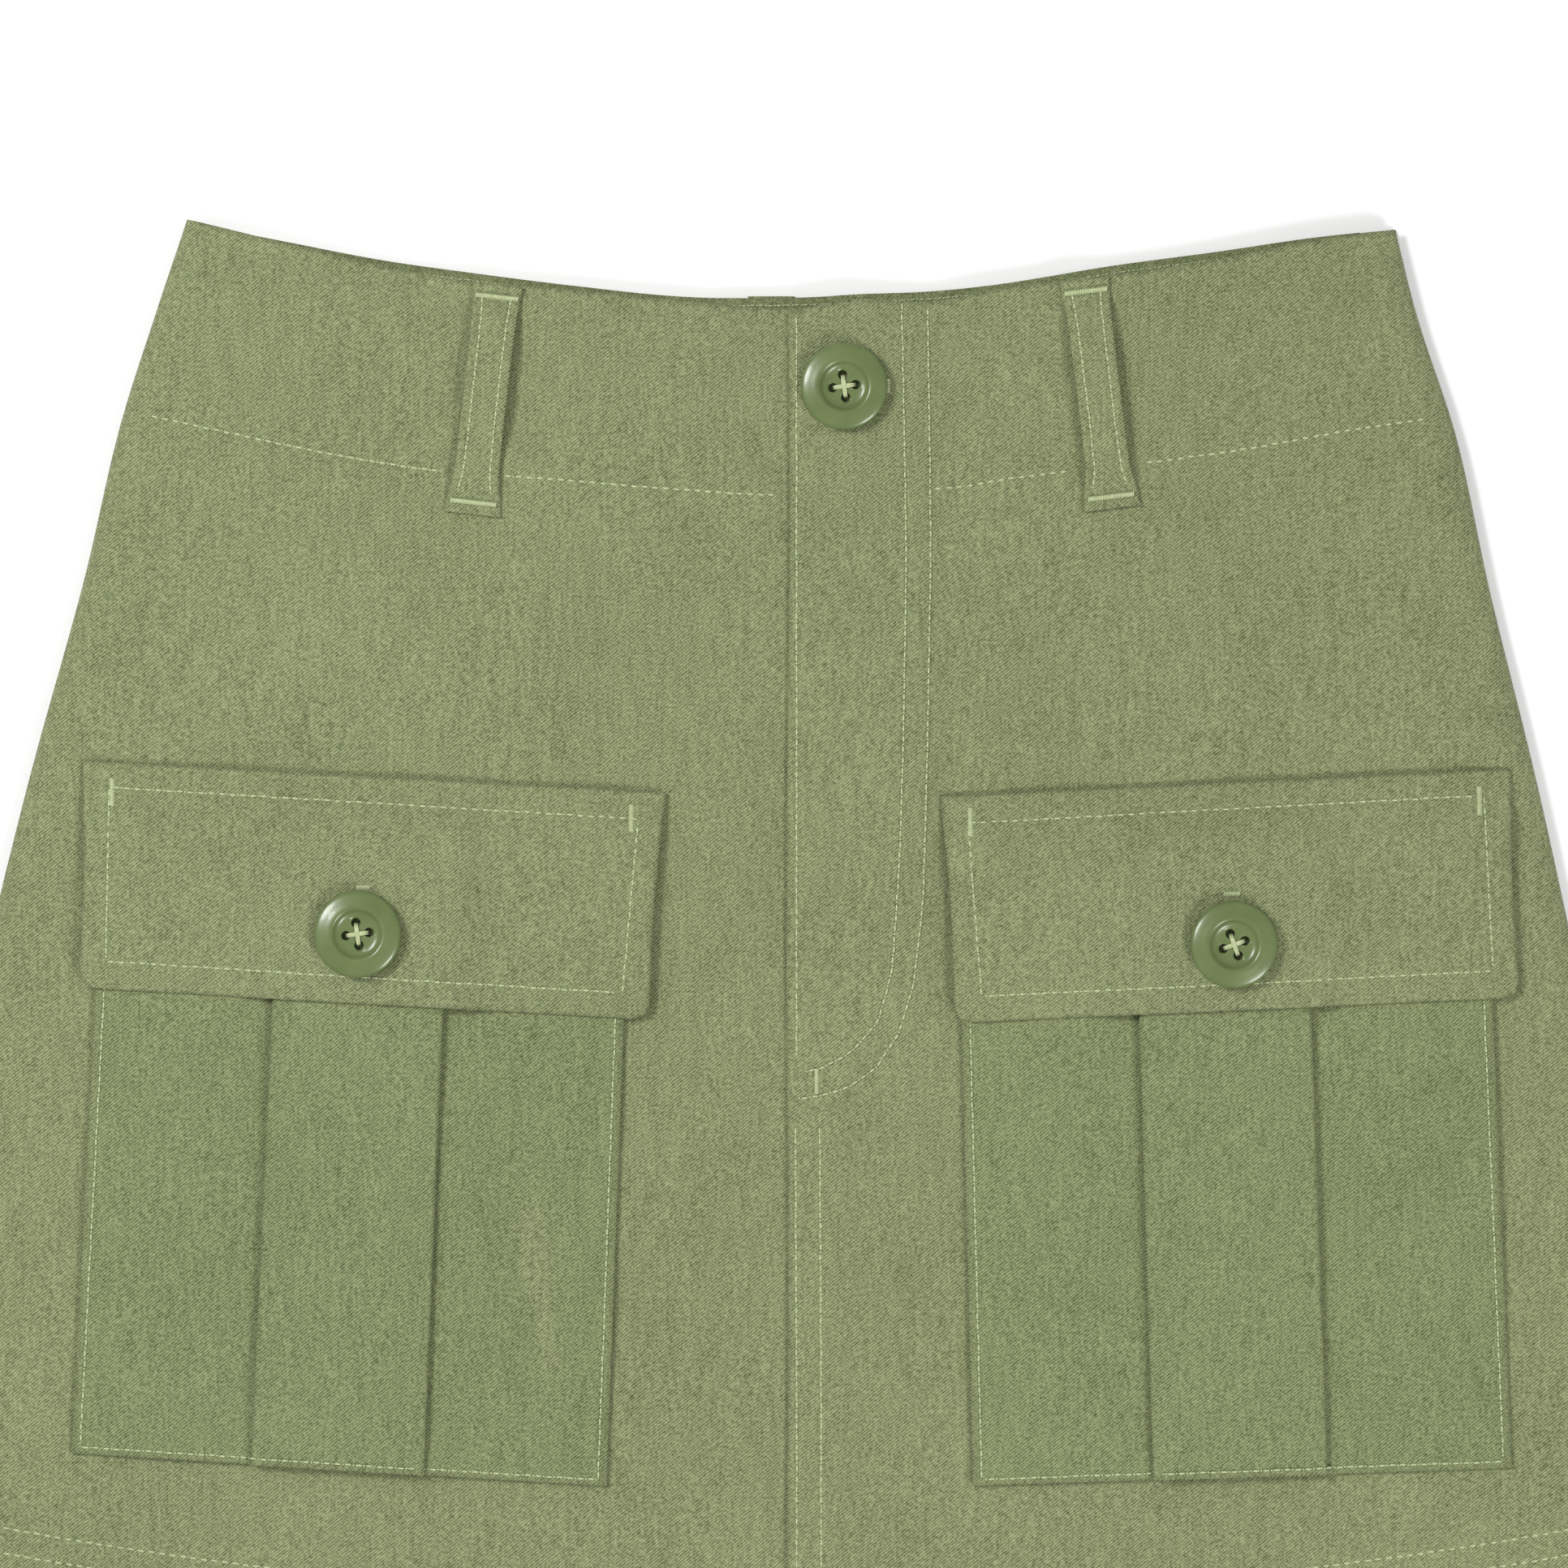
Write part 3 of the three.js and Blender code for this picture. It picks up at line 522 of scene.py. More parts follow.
def flap_height(spec, x, y):
    """Middle of the flap's cloth at a plan point, all in metres."""
    top = spec["flap_top_out"][1] + (spec["flap_top_in"][1] - spec["flap_top_out"][1]) * (
        (x / mm - spec["flap_top_out"][0]) / (spec["flap_top_in"][0] - spec["flap_top_out"][0]))
    down = top * mm - y
    width = abs(spec["top_in"][0] - spec["top_out"][0]) * mm
    place = abs(x - spec["top_out"][0] * mm)
    first, second = (f * width for f in spec["folds"])
    over = ramp([(first - 13 * mm, 0), (first - 1 * mm, 1),
                 (second + 1 * mm, 1), (second + 13 * mm, 0)], place)
    climb = ramp([(0.5 * mm, 0), (15.5 * mm, 1)], down)
    z = POCKET_SEAT + 0.6 * mm + climb * (STEP + over * 2.2 * mm)
    edge_sag = ramp([(44 * mm, 0), (58 * mm, 1)], down) * (1 - over) * 0.4 * mm
    return z - edge_sag


# %% Two flaps
FLAP_CREASES = {
    "right": [(-166, -118, -158, -130, 0.5, 4), (-44, -122, -52, -136, 0.6, 5),
              (-130, -140, -118, -156, 0.4, 8), (-92, -140, -76, -158, 0.4, 8)],
    "left": [(170, -118, 160, -132, 0.6, 5), (46, -126, 54, -140, 0.6, 5), (90, -146, 78, -164, 0.4, 8),
             (130, -140, 146, -158, 0.4, 8)],
}


def flap_edge_distance(u, v):
    return min(u * FLAP_SIZE[0], (1 - u) * FLAP_SIZE[0], v * FLAP_SIZE[1], (1 - v) * FLAP_SIZE[1])


def make_flap(side, spec):
    corners = [spec[k] for k in ("flap_top_out", "flap_top_in", "flap_low_out", "flap_low_in")]

    def place(across, down):
        u, v = across, down
        x, y = patch(*corners, u, v)
        side_run = min(u, 1 - u) * FLAP_SIZE[0]
        low_run = (1 - v) * FLAP_SIZE[1]
        round_off = max(0.0, 1 - side_run / (4 * mm)) * max(0.0, 1 - low_run / (4 * mm))
        toward = 1 if (u < 0.5) == (spec["flap_top_out"][0] < 0) else -1
        x += toward * 1.2 * mm * round_off
        y += 1.2 * mm * round_off
        x += toward * 0.9 * mm * math.sin(math.pi * v) * max(0.0, 1 - side_run / (20 * mm))
        edge = flap_edge_distance(u, v)
        z = flap_height(spec, x, y) + crease_height(x, y, FLAP_CREASES[side])
        z += ripple(x, y, 22 * mm, 0.25 * mm, 12.0)
        from_row = abs(edge - FLAP_ROW)
        z += stitch_groove(from_row, 0.22 * mm) + seam_pucker(from_row, x + y, 0.14 * mm, 14.0)
        z -= 0.35 * mm * math.exp(-(edge / (0.8 * mm)) ** 2)
        return x, y, z

    piece = cloth(f"pocket_flap_{side}", int(150 * fine), int(64 * fine), place, f"flap_{side}",
                  wall=1.1 * mm)
    return piece


flaps = {side: make_flap(side, spec) for side, spec in POCKETS.items()}

# %% [markdown]
# ## Belt loops
# A folded strip with a row of stitches down each edge. It flares where its ends are sewn
# through all the layers and stands off in the middle, so a belt can pass. A short table
# of half widths and heights along the strip holds its whole shape.

# %% Belt loops
LOOP_ROWS = [(0, 6.0, 0.0), (4, 5.7, 0.0), (9, 5.4, 0.8), (20, 5.3, 1.6), (38, 5.3, 1.6), (47, 5.5, 0.8),
             (52, 6.4, 0.0), (57, 7.0, 0.0)]
LOOP_LENGTH = 57 * mm
LOOP_RISE = 3.3 * mm       # the centre-back loop stands this far above the waist edge
FRONT_LOOPS = {"right": ((-72.2, 6.0), (-78.6, -50.4)), "left": ((72.2, 7.4), (79.0, -48.4))}


def loop_frame(side):
    top, bottom = (Vector(end) * mm for end in FRONT_LOOPS[side])
    run = (bottom - top).normalized()
    return top, run, Vector((-run.y, run.x))


def loop_point(side, along, offset):
    """A point on a front loop: along its length and across from its middle, in metres."""
    top, run, across = loop_frame(side)
    point = top + run * along + across * offset
    stand = mm * curve_through(LOOP_ROWS, along / mm, 2)
    depth = depth_at(point.x, point.y)
    z = ramp(FRONT_STOPS, depth) + 1.0 * mm + 0.4 * mm + 0.5 * mm + max(0.0, stand)
    return point.x, point.y, z


def make_front_loop(side):
    def place(across, down):
        along = down * LOOP_LENGTH
        half = mm * curve_through(LOOP_ROWS, along / mm, 1)
        offset = (across * 2 - 1) * half
        x, y, z = loop_point(side, along, offset)
        edge = half - abs(offset)
        z += stitch_groove(abs(edge - 2.2 * mm), 0.2 * mm, 0.7 * mm)
        z -= 0.3 * mm * math.exp(-(edge / (0.7 * mm)) ** 2)
        z += ripple(x, y, 9 * mm, 0.15 * mm, 20.0)
        z -= 0.25 * mm * (math.exp(-((along - 3 * mm) / mm) ** 2) + math.exp(-((along - 54 * mm) / mm) ** 2))
        return x, y, z
    piece = cloth(f"belt_loop_{side}", 24, 90, place, f"loop_front_{side}", wall=1.0 * mm)
    return piece


def place_back_loop(across, down):
    along = down * LOOP_LENGTH
    half = mm * curve_through(LOOP_ROWS, along / mm, 1) * 0.95
    top = plan(BACK_LOOP_X, 0).y + LOOP_RISE
    return BACK_LOOP_X + (across * 2 - 1) * half, top - along, HALF_WALL


front_loops = {side: make_front_loop(side) for side in FRONT_LOOPS}
back_loop = cloth("belt_loop_centre_back", 16, 60, place_back_loop, "loop_centre_back", wall=0.95 * mm)

# %% [markdown]


# %% [markdown]
# ## Twill weave
# Twill shows fine diagonal cords, lighter flecks where a thread floats and darker gaps
# between. An image could carry it, but stripes and noise worked out from the object's own
# coordinates stay sharp at any size. The group puts out a colour factor and a height, so
# every cloth material can use it with its own colours and strength.

# %% Node helpers
def group_with(name, inputs, outputs):
    group = bpy.data.node_groups.new(name, "ShaderNodeTree")
    for label, kind, value in inputs:
        socket = group.interface.new_socket(name=label, in_out="INPUT", socket_type=kind)
        socket.default_value = value
    for label, kind in outputs:
        group.interface.new_socket(name=label, in_out="OUTPUT", socket_type=kind)
    return group, group.nodes.new("NodeGroupInput"), group.nodes.new("NodeGroupOutput")


def math_node(tree, operation, first, second=0.0):
    node = tree.nodes.new("ShaderNodeMath")
    node.operation = operation
    for socket, value in zip(node.inputs, (first, second)):
        if isinstance(value, (int, float)):
            socket.default_value = value
        else:
            tree.links.new(value, socket)
    return node.outputs[0]


def diagonal(tree, coordinates, degrees, pitch, wobble):
    """Soft stripes that run at an angle, with threads that waver."""
    split = tree.nodes.new("ShaderNodeSeparateXYZ")
    tree.links.new(coordinates, split.inputs[0])
    turn = math.radians(degrees + 90)
    along = math_node(tree, "MULTIPLY", split.outputs[0], math.cos(turn) * 2 * math.pi / pitch)
    up = math_node(tree, "MULTIPLY", split.outputs[1], math.sin(turn) * 2 * math.pi / pitch)
    phase = math_node(tree, "ADD", math_node(tree, "ADD", along, up), wobble)
    return math_node(tree, "SINE", phase)


def noise_node(tree, coordinates, scale, detail=2.0, stretch=None):
    node = tree.nodes.new("ShaderNodeTexNoise")
    node.inputs["Scale"].default_value = scale
    node.inputs["Detail"].default_value = detail
    if stretch:
        mapping = tree.nodes.new("ShaderNodeMapping")
        mapping.inputs["Scale"].default_value = stretch
        tree.links.new(coordinates, mapping.inputs["Vector"])
        coordinates = mapping.outputs[0]
    tree.links.new(coordinates, node.inputs["Vector"])
    return node.outputs[0]


# %% The weave group
CORD_ANGLE = 38
CORD_PITCH = 0.63 * mm
CROSS_ANGLE = -60
CROSS_PITCH = 0.43 * mm
weave, weave_in, weave_out = group_with(
    "twill_weave",
    [("Coordinates", "NodeSocketVector", (0, 0, 0)), ("Fleck", "NodeSocketFloat", 1.0)],
    [("Shade", "NodeSocketFloat"), ("Height", "NodeSocketFloat")])
place_in = weave_in.outputs["Coordinates"]
wander = math_node(weave, "MULTIPLY", noise_node(weave, place_in, 260.0), 2.5)
cords = diagonal(weave, place_in, CORD_ANGLE, CORD_PITCH, wander)
cross = diagonal(weave, place_in, CROSS_ANGLE, CROSS_PITCH, wander)
fleck = math_node(weave, "SUBTRACT", noise_node(weave, place_in, 1500.0, 3.0), 0.5)
streak = math_node(weave, "SUBTRACT", noise_node(weave, place_in, 900.0, 2.0, (1.0, 0.12, 1.0)), 0.5)
cloud = math_node(weave, "SUBTRACT", noise_node(weave, place_in, 22.0, 3.0), 0.5)
main_cords = math_node(weave, "MULTIPLY", cords, 0.5)
cross_cords = math_node(weave, "MULTIPLY", cross, 0.3)
height = math_node(weave, "ADD", main_cords, cross_cords)
flecks = math_node(weave, "MULTIPLY", math_node(weave, "MULTIPLY", fleck, 1.3), weave_in.outputs["Fleck"])
shade = math_node(weave, "ADD", math_node(weave, "MULTIPLY", height, 0.42), flecks)
shade = math_node(weave, "ADD", shade, math_node(weave, "MULTIPLY", streak, 0.35))
shade = math_node(weave, "ADD", shade, math_node(weave, "MULTIPLY", cloud, 0.16))
weave.links.new(math_node(weave, "ADD", shade, 0.5), weave_out.inputs["Shade"])
weave.links.new(height, weave_out.inputs["Height"])
print("weave group has", len(weave.nodes), "nodes")

# %% Cloth materials
def linear(*srgb):
    """A colour given as three screen values from 0 to 255, as the renderer needs it."""
    return tuple(((c / 255 + 0.055) / 1.055) ** 2.4 for c in srgb) + (1,)


def twill_material(name, dark, light, fleck=1.0, bump=0.35):
    material = bpy.data.materials.new(name)
    material.use_nodes = True
    tree = material.node_tree
    shader = tree.nodes["Principled BSDF"]
    shader.inputs["Roughness"].default_value = 0.92
    shader.inputs["Specular IOR Level"].default_value = 0.25
    shader.inputs["Sheen Weight"].default_value = 0.08
    shader.inputs["Sheen Roughness"].default_value = 0.5
    coordinates = tree.nodes.new("ShaderNodeTexCoord")
    threads = tree.nodes.new("ShaderNodeGroup")
    threads.node_tree = weave
    threads.inputs["Fleck"].default_value = fleck
    tree.links.new(coordinates.outputs["Object"], threads.inputs["Coordinates"])
    colour = tree.nodes.new("ShaderNodeMix")
    colour.data_type = "RGBA"
    colour.inputs["A"].default_value = dark
    colour.inputs["B"].default_value = light
    tree.links.new(threads.outputs["Shade"], colour.inputs["Factor"])
    tree.links.new(colour.outputs["Result"], shader.inputs["Base Color"])
    relief = tree.nodes.new("ShaderNodeBump")
    relief.inputs["Strength"].default_value = bump
    relief.inputs["Distance"].default_value = 0.12 * mm
    tree.links.new(threads.outputs["Height"], relief.inputs["Height"])
    tree.links.new(relief.outputs["Normal"], shader.inputs["Normal"])
    return material


twill = twill_material("khaki_twill", linear(58, 66, 33), linear(156, 163, 121))
pocket_twill = twill_material("khaki_twill_pocket", linear(54, 62, 30), linear(150, 158, 115))
inside_twill = twill_material("khaki_twill_inside", linear(54, 62, 30), linear(146, 154, 111))
shorts_cloth = twill_material("shorts_cotton", linear(76, 84, 50), linear(150, 158, 118),
                              fleck=0.4, bump=0.15)


def dress(piece, material):
    piece.data.materials.clear()
    piece.data.materials.append(material)


for piece in (front_right, front_left, back, back_loop, *front_loops.values(), *flaps.values()):
    dress(piece, twill)
for piece in pockets.values():
    dress(piece, pocket_twill)
dress(facing, inside_twill)
for leg in shorts:
    dress(leg, shorts_cloth)

# %% [markdown]
# ## Stitching
# A stitch is a short thread that dives into the cloth at both ends. Painted dashes would
# catch no light, so each stitch is a small stretched ball of few faces: a loop walks the
# row at the stitch pitch and asks the cloth below for its height. A small flat dark disc of
# painted shade sits at each needle hole, and all the stitches of a kind are one joined mesh.

# %% Stitch maker
PITCH = 2.6 * mm
THREAD = 0.3 * mm


def add_stitch(shape, start, end, radius):
    """A capsule with its ends sunk in the cloth."""
    made = bmesh.ops.create_icosphere(shape, subdivisions=1, radius=1.0)["verts"]
    middle, reach = (start + end) / 2, (end - start)
    ahead = reach.normalized()
    side = ahead.cross(Vector((0, 0, 1))).normalized()
    up = side.cross(ahead)
    for point in made:
        local = point.co.copy()
        round_off = side * local.y * radius + up * local.z * radius
        point.co = middle + ahead * local.x * reach.length * 0.56 + round_off


def walk(points, pitch):
    """Even places along a row of plan points, in metres."""
    places, carry = [], 0.0
    for a, b in zip(points, points[1:]):
        run = (b - a).length
        while carry <= run:
            places.append(a + (b - a) * (carry / run))
            carry += pitch
        carry -= run
    return places


def sew(name, rows, height, pitch=PITCH, radius=THREAD):
    """rows are lists of plan points in mm; height(x, y) is the top of the cloth."""
    mesh = bpy.data.meshes.new(name)
    shape = bmesh.new()
    for row in rows:
        places = walk([Vector(point) * mm for point in row], pitch)
        for here, there in zip(places, places[1:]):
            start, end = here.lerp(there, 0.14), here.lerp(there, 0.86)
            wander = Vector((rng.uniform(-0.08, 0.08) * mm, rng.uniform(-0.08, 0.08) * mm))
            start, end = start + wander, end + wander
            ends = [Vector((p.x + CENTRE_X, p.y + WAIST_Y, height(p.x, p.y))) for p in (start, end)]
            add_stitch(shape, ends[0], ends[1], radius)
            # a flat dark disc of painted shade at each needle hole
            add_hole_shade_disc(shape, Vector((there.x + CENTRE_X, there.y + WAIST_Y, height(there.x, there.y))))
    for face in shape.faces:
        face.smooth = True
    shape.to_mesh(mesh)
    shape.free()
    piece = bpy.data.objects.new(name, mesh)
    bpy.context.scene.collection.objects.link(piece)
    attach(piece, "root")
    dress(piece, thread)
    # second material: the painted shade of the needle holes
    piece.data.materials.append(hole_shadow)
    print(name, len(mesh.polygons), "faces")
    return piece


def add_hole_shade_disc(shape, centre):
    """A small flat dark disc where the thread goes down: painted shade for the needle hole."""
    made = bmesh.ops.create_icosphere(shape, subdivisions=1, radius=1.0)["verts"]
    for point in made:
        point.co = centre + Vector((point.co.x * 0.3, point.co.y * 0.3, point.co.z * 0.07)) * mm
    for face in {face for point in made for face in point.link_faces}:
        face.material_index = 1


def thread_material():
    material = bpy.data.materials.new("sewing_thread")
    material.use_nodes = True
    tree = material.node_tree
    shader = tree.nodes["Principled BSDF"]
    shader.inputs["Roughness"].default_value = 0.6
    coordinates = tree.nodes.new("ShaderNodeTexCoord")
    colour = tree.nodes.new("ShaderNodeMix")
    colour.data_type = "RGBA"
    colour.inputs["A"].default_value = linear(150, 160, 114)
    colour.inputs["B"].default_value = linear(196, 204, 162)
    tree.links.new(noise_node(tree, coordinates.outputs["Object"], 900.0, 2.0), colour.inputs["Factor"])
    tree.links.new(colour.outputs["Result"], shader.inputs["Base Color"])
    return material


thread = thread_material()
# Dark colours for the needle-hole discs: painted shade, not a colour of the cloth.
hole_shadow = twill_material("needle_hole_painted_shade", linear(44, 50, 26), linear(78, 86, 50), fleck=0.5, bump=0.1)


def row_at_depth(depth, start, end, step=6.0):
    count = max(2, round(abs(end - start) / step))
    xs = [start + (end - start) * i / count for i in range(count + 1)]
    return [tuple(v / mm for v in plan(x * mm, depth(x * mm))) for x in xs]


def on_front(x, y):
    hand = 1 if x > FLY_X else -1
    return front_height(x, y, hand) + CLOTH / 2


# %% Rows on the fronts
fly_line = [(FLY_X / mm + 1.9, y) for y in (-1.5, -60, -120, -186)]
centre_rows = [[(x0, -201), (x0 + 0.3, -260), (x0 + 0.4, -333)] for x0 in (1.0, 7.0)]
hem_ends = (-228, 218)
front_rows = [
    row_at_depth(facing_depth, -158, -86), row_at_depth(facing_depth, -71, -1.5),
    row_at_depth(facing_depth, 35, 71), row_at_depth(facing_depth, 87, 157),
    inner_j, outer_j, fly_line, *centre_rows,
]
for depth in HEM_ROWS:
    front_rows.append(row_at_depth(lambda x, d=depth: d, hem_ends[0], -1.5))
    front_rows.append(row_at_depth(lambda x, d=depth: d, 1, hem_ends[1]))
sew("stitching_fronts", front_rows, on_front)


# %% The row along the back facing's top edge
def understitch_point(x):
    lip = curve_through(WAIST_ROWS, x * mm / abs(side_x(0, -1 if x < 0 else 1)), 2)
    return (x, plan(x * mm, 0).y / mm + lip - 1.9)


def on_facing(x, y):
    return STEP + HALF_WALL + CLOTH / 2 + loop_lift(x, 0.0)


facing_row = [understitch_point(-124 + 8 * i) for i in range(32)]
sew("stitching_back_waist", [facing_row], on_facing, 2.2 * mm, 0.2 * mm)

# %% Rows on pockets, flaps and loops
def on_pocket(x, y):
    side = "right" if x < 0 else "left"
    spec = POCKETS[side]
    width = abs(spec["top_in"][0] - spec["top_out"][0])
    share = abs(x / mm - spec["low_out"][0]) / width
    raised = 2 * LAYER * 0.78 if spec["folds"][0] < share < spec["folds"][1] else 0.0
    return POCKET_SEAT + HALF_WALL + raised + CLOTH / 2


pocket_rows, flap_rows = [], []
for spec in POCKETS.values():
    ring = [spec["top_out"], spec["low_out"], spec["low_in"], spec["top_in"]]
    centre = Vector((sum(p[0] for p in ring) / 4, sum(p[1] for p in ring) / 4))
    inner = []
    for p in ring:
        toward = Vector((math.copysign(2.1, centre.x - p[0]), math.copysign(1.6, centre.y - p[1])))
        inner.append(tuple(Vector(p) + toward))
    pocket_rows += [inner[0:2], inner[1:3], inner[2:4]]
    box = [Vector(spec[k]) for k in ("flap_top_out", "flap_low_out", "flap_low_in", "flap_top_in")]
    heart = sum(box, Vector((0, 0))) / 4
    inset = [p + Vector((math.copysign(6.6, heart.x - p.x), math.copysign(6.4, heart.y - p.y))) for p in box]
    loop_round = [tuple(p) for p in inset]
    flap_rows += [loop_round[0:2], loop_round[1:3], loop_round[2:4], [loop_round[3], loop_round[0]]]
sew("stitching_pockets", pocket_rows, on_pocket)


def on_flap(x, y):
    side = "right" if x < 0 else "left"
    spec = POCKETS[side]
    z = flap_height(spec, x, y) + crease_height(x, y, FLAP_CREASES[side])
    return z + ripple(x, y, 22 * mm, 0.25 * mm, 12.0) + 0.36 * mm


sew("stitching_flaps", flap_rows, on_flap)


def sew_loop(side):
    top, run, across = loop_frame(side)
    rows = []
    for way in (-1, 1):
        row = []
        for along in (3, 9, 20, 38, 47, 52):
            half = curve_through(LOOP_ROWS, along, 1) - 2.2
            row.append(tuple((top + run * along * mm + across * way * half * mm) / mm))
        rows.append(row)

    def height(x, y):
        along = (Vector((x, y)) - top).dot(run)
        return loop_point(side, along, 0.0)[2] + 0.36 * mm
    sew(f"stitching_loop_{side}", rows, height, 2.3 * mm)


for side in FRONT_LOOPS:
    sew_loop(side)

# %% [markdown]
# ## Bartacks
# A bartack is a dense zigzag over a short bar. Each is a row of threads laid side by side
# across the bar, at the loops' ends, the flaps' corners and the ends of the buttonholes.

# %% Bartacks
def bartack(shape, centre, length, width, degrees, height):
    along = Vector((math.cos(math.radians(degrees)), math.sin(math.radians(degrees))))
    across = Vector((-along.y, along.x))
    count = round(length / 0.42)
    for i in range(count):
        middle = Vector(centre) + along * (length * (i + 0.5) / count - length / 2)
        ends = []
        for way in (-1, 1):
            p = (middle + across * way * width / 2 + along * way * 0.12) * mm
            ends.append(Vector((p.x + CENTRE_X, p.y + WAIST_Y, height(p.x, p.y) + 0.12 * mm)))
        add_stitch(shape, ends[0], ends[1], 0.25 * mm)


def bartacks(name, bars, height):
    mesh = bpy.data.meshes.new(name)
    shape = bmesh.new()
    for centre, length, width, degrees in bars:
        bartack(shape, centre, length, width, degrees, height)
    for face in shape.faces:
        face.smooth = True
    shape.to_mesh(mesh)
    shape.free()
    piece = bpy.data.objects.new(name, mesh)
    bpy.context.scene.collection.objects.link(piece)
    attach(piece, "root")
    dress(piece, thread)
    return piece


# Each bar: its middle, its length and width in mm, and its angle.
flap_bars = [((-167.2, -119.0), 6.6, 1.5, 90), ((-39.4, -125.4), 6.6, 1.5, 90),
             ((-105.2, -142.4), 3.2, 1.5, 0), ((44.0, -126.4), 7.0, 1.5, 90),
             ((169.2, -121.2), 7.0, 1.5, 90), ((108.2, -144.0), 4.0, 1.5, 0)]
bartacks("bartacks_flaps", flap_bars, on_flap)
bartacks("bartacks_fly", [((23.6, -18.9), 3.4, 1.6, 90), ((6.2, -190.2), 6.2, 1.3, 90)], on_front)
for side in FRONT_LOOPS:
    top, run, _ = loop_frame(side)
    tilt = math.degrees(math.atan2(run.y, run.x)) + 90
    ends = [(tuple((top + run * d * mm) / mm), w, 1.6, tilt) for d, w in ((3, 10.6), (54, 11.4))]
    bartacks(f"bartacks_loop_{side}", ends,
             lambda x, y, s=side: loop_point(s, 3 * mm, 0)[2] + 0.4 * mm if y > -20 * mm
             else loop_point(s, 54 * mm, 0)[2] + 0.4 * mm)

# %% [markdown]
# ## Buttons
# A sewn button with four holes has a broad plain rim, a rolled ring and a sunk middle. All
# of that is round, so a profile spun about its axis gives it. The holes aren't round about
# that axis, so they are cut with a Boolean, and pale thread crosses between them.

# %% Buttons
# Radius and height in mm, from the middle of the underside round to the middle of the well.
BUTTON_PROFILE = [(0, 0.0), (8.9, 0.0), (10.1, 0.5), (10.6, 1.2), (10.7, 1.7), (10.55, 2.15),
                  (10.2, 2.45), (9.6, 2.7), (8.6, 2.95), (7.6, 3.2), (7.0, 3.37), (6.6, 3.4),
                  (6.25, 3.3), (5.9, 3.0), (5.6, 2.6), (5.2, 2.25), (4.6, 2.0), (3.6, 1.88),
                  (2.0, 1.85), (0, 1.85)]
HOLE_OUT = 2.8
HOLE_RADIUS = 1.15 * mm
WELL_THREAD = 2.0          # the first thread lies this high in the well, in mm


def button_plastic():
    material = bpy.data.materials.new("button_plastic")
    material.use_nodes = True
    tree = material.node_tree
    shader = tree.nodes["Principled BSDF"]
    shader.inputs["Roughness"].default_value = 0.3
    shader.inputs["Coat Weight"].default_value = 0.15
    coordinates = tree.nodes.new("ShaderNodeTexCoord")
    colour = tree.nodes.new("ShaderNodeMix")
    colour.data_type = "RGBA"
    colour.inputs["A"].default_value = linear(82, 97, 52)
    colour.inputs["B"].default_value = linear(104, 119, 72)
    tree.links.new(noise_node(tree, coordinates.outputs["Object"], 160.0, 3.0), colour.inputs["Factor"])
    tree.links.new(colour.outputs["Result"], shader.inputs["Base Color"])
    grain = tree.nodes.new("ShaderNodeBump")
    grain.inputs["Strength"].default_value = 0.12
    grain.inputs["Distance"].default_value = 0.05 * mm
    tree.links.new(noise_node(tree, coordinates.outputs["Object"], 1800.0, 2.0), grain.inputs["Height"])
    tree.links.new(grain.outputs["Normal"], shader.inputs["Normal"])
    return material


plastic = button_plastic()


def spun(profile, steps):
    shape = bmesh.new()
    points = [shape.verts.new((r * mm, 0, z * mm)) for r, z in profile]
    edges = [shape.edges.new(pair) for pair in zip(points, points[1:])]
    bmesh.ops.spin(shape, geom=points + edges, axis=(0, 0, 1), cent=(0, 0, 0), steps=steps, angle=2 * math.pi,
                   use_merge=True)
    bmesh.ops.remove_doubles(shape, verts=shape.verts, dist=1e-6)
    bmesh.ops.recalc_face_normals(shape, faces=shape.faces)
    return shape


# %% Button blank and hole cutter
def button_blank(name):
    shape = spun(BUTTON_PROFILE, 96)
    for face in shape.faces:
        face.smooth = True
    mesh = bpy.data.meshes.new(name)
    shape.to_mesh(mesh)
    shape.free()
    return bpy.data.objects.new(name, mesh)


def hole_cutter(turn):
    """Four upright pins where the holes go."""
    shape = bmesh.new()
    for i in range(4):
        angle = math.radians(turn + 90 * i)
        spot = Vector((HOLE_OUT * math.cos(angle), HOLE_OUT * math.sin(angle), 0)) * mm
        made = bmesh.ops.create_cone(shape, cap_ends=True, segments=24, radius1=HOLE_RADIUS,
                                     radius2=HOLE_RADIUS, depth=12 * mm)["verts"]
        bmesh.ops.translate(shape, verts=made, vec=spot)
    mesh = bpy.data.meshes.new("button_holes")
    shape.to_mesh(mesh)
    shape.free()
    return bpy.data.objects.new("button_holes", mesh)


def drill(body, cutter, centre):
    """Takes the cutter out of the body and moves the mesh to its place."""
    for thing in (body, cutter):
        bpy.context.scene.collection.objects.link(thing)
    cut = body.modifiers.new("holes", "BOOLEAN")
    cut.object = cutter
    cut.solver = "EXACT"
    bpy.context.view_layer.update()
    worked_out = body.evaluated_get(bpy.context.evaluated_depsgraph_get())
    finished = bpy.data.meshes.new_from_object(worked_out)
    body.modifiers.clear()
    body.data = finished
    bpy.data.objects.remove(cutter)
    shape = bmesh.new()
    shape.from_mesh(finished)
    bmesh.ops.translate(shape, verts=shape.verts, vec=centre)
    shape.to_mesh(finished)
    shape.free()


